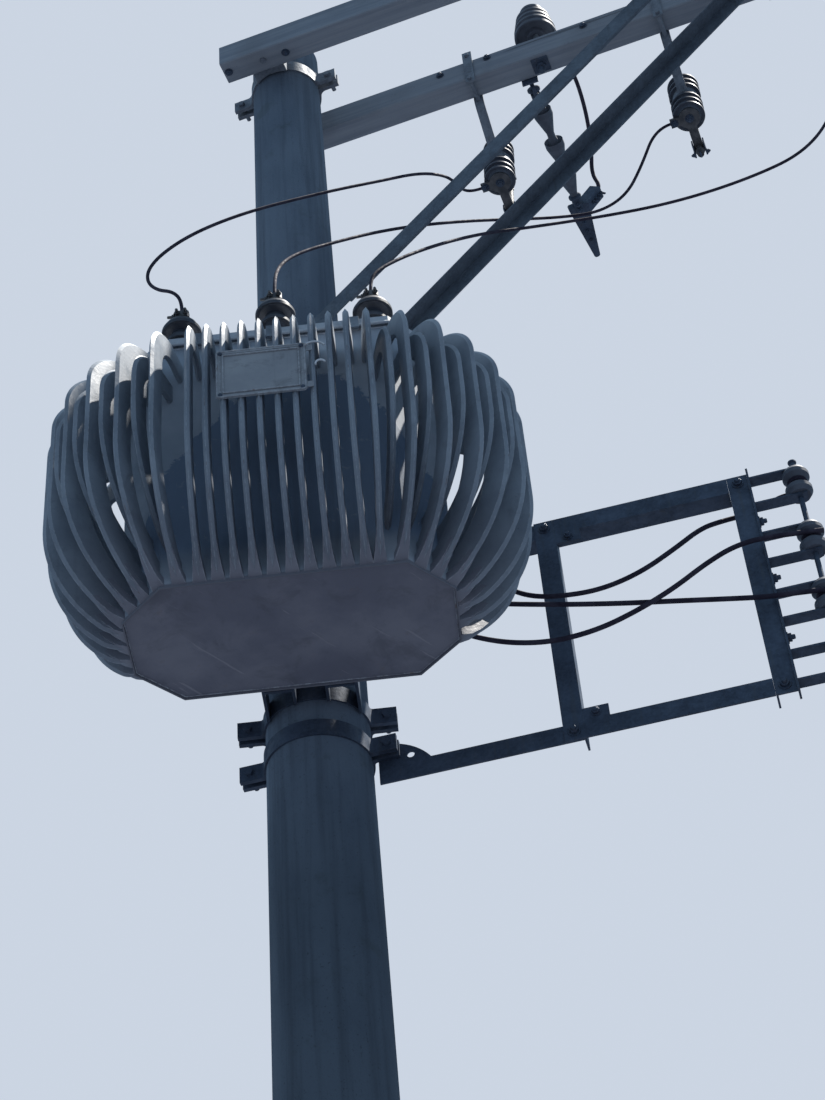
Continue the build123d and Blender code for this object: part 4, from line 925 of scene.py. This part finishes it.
FRAME_FACE = 16
POST_PLACES = (720, 1306)
BAR_LEVELS = (5830, 6622)
CLEAT_PLACE = 787
CLEAT_LEVELS = (5881, 6571)
RACK_END = 1342.3
STRAP_LEVELS = (6002, 6232, 6462)
ROD_ENDS = ((5797, -1), (6667, 1))
bm = bmesh.new()
for level in BAR_LEVELS:
    for along in POST_PLACES:
        add_bolt(bm, inside(RACK, (along, FRAME_FACE, level), (1, 0, 0), (0, -1, 0)), 24, 8)
for level in CLEAT_LEVELS:
    add_bolt(bm, inside(RACK, (CLEAT_PLACE, FRAME_FACE, level), (1, 0, 0), (0, -1, 0)), 20, 6)
for level in STRAP_LEVELS:
    add_bolt(bm, inside(RACK, (RACK_END, SPOOL_PLACE[1], level), (0, 1, 0), (1, 0, 0)), 22, 10)
for level, way in ROD_ENDS:
    rod_end = inside(RACK, (*SPOOL_PLACE, level), (1, 0, 0), (0, 0, way))
    add_turned(bm, rod_end, [(8, -2), (13, 0), (13, 4), (8, 9)], 16)
piece("frame_fasteners", bm, dark_zinc)


# Camera

def place_camera():
    """The camera that took the photograph, as far as it could be fitted."""
    forward = Vector((
        math.sin(CAMERA_YAW) * math.cos(CAMERA_PITCH),
        math.cos(CAMERA_YAW) * math.cos(CAMERA_PITCH),
        math.sin(CAMERA_PITCH),
    ))
    level_right = Vector((math.cos(CAMERA_YAW), -math.sin(CAMERA_YAW), 0))
    level_up = level_right.cross(forward)
    right = level_right * math.cos(CAMERA_ROLL) + level_up * math.sin(CAMERA_ROLL)
    up = level_up * math.cos(CAMERA_ROLL) - level_right * math.sin(CAMERA_ROLL)
    data = bpy.data.cameras.new("camera")
    data.sensor_fit = "VERTICAL"
    data.sensor_height = SENSOR_HEIGHT
    data.lens = SENSOR_HEIGHT * FOCAL_PIXELS / FRAME_HEIGHT_PIXELS
    data.clip_end = 200
    camera = bpy.data.objects.new("camera", data)
    turn = Matrix((right, up, -forward)).transposed()
    camera.matrix_world = Matrix.Translation(CAMERA_PLACE) @ turn.to_4x4()
    bpy.context.scene.collection.objects.link(camera)
    bpy.context.scene.camera = camera


# Light

def seen_directly(tree):
    """A factor that is one for rays from the camera and none for those that carry light."""
    return tree.nodes.new("ShaderNodeLightPath").outputs["Is Camera Ray"]


def light_world():
    """A plain pale sky behind the object, and a bluer, weaker one that lights it."""
    world = bpy.data.worlds.new("studio")
    bpy.context.scene.world = world
    world.use_nodes = True
    tree = world.node_tree
    shown = tree.nodes.new("ShaderNodeBackground")
    shown.inputs["Color"].default_value = (*SKY_SHOWN, 1)
    lit = tree.nodes["Background"]
    lit.inputs["Color"].default_value = (*SKY_COLOUR, 1)
    lit.inputs["Strength"].default_value = SKY_STRENGTH
    mix = tree.nodes.new("ShaderNodeMixShader")
    tree.links.new(seen_directly(tree), mix.inputs[0])
    tree.links.new(lit.outputs[0], mix.inputs[1])
    tree.links.new(shown.outputs[0], mix.inputs[2])
    tree.links.new(mix.outputs[0], tree.nodes["World Output"].inputs["Surface"])


def light_sun():
    """Sun on all but the pole and the right-hand tubes, which stand in shade."""
    data = bpy.data.lights.new("sun", "SUN")
    data.energy = SUN_STRENGTH
    data.color = SUN_COLOUR
    data.angle = SUN_ANGLE
    obj = bpy.data.objects.new("sun", data)
    towards = Vector((
        math.cos(SUN_HEIGHT) * math.cos(SUN_TURN),
        math.cos(SUN_HEIGHT) * math.sin(SUN_TURN),
        math.sin(SUN_HEIGHT),
    ))
    obj.rotation_euler = towards.to_track_quat("Z", "Y").to_euler()
    bpy.context.scene.collection.objects.link(obj)
    sunlit = bpy.data.collections.new("sunlit")
    for other in bpy.context.scene.objects:
        if other.type in ("MESH", "CURVE") and other not in (nodes["pole"], nodes["right_tubes"]):
            sunlit.objects.link(other)
    obj.light_linking.receiver_collection = sunlit


def lay_floor():
    """A pale floor that throws little light back up, as dark ground does."""
    mesh = bpy.data.meshes.new("floor")
    half = FLOOR_SIZE / 2
    corners = [(-half, -half, 0), (half, -half, 0), (half, half, 0), (-half, half, 0)]
    mesh.from_pydata(corners, [], [(0, 1, 2, 3)])
    f = Finish("pale_floor", roughness=0.9, specular=0.0)
    pale = f.mix(f.noise(0.8, 3), FLOOR_COLOUR, tuple(c * 1.04 for c in FLOOR_COLOUR))
    mesh.materials.append(f.done(f.mix(seen_directly(f.tree), FLOOR_BOUNCE, pale)))
    obj = bpy.data.objects.new("floor", mesh)
    bpy.context.scene.collection.objects.link(obj)


place_camera()
light_world()
lay_floor()
light_sun()
bpy.context.scene.view_settings.view_transform = "Standard"
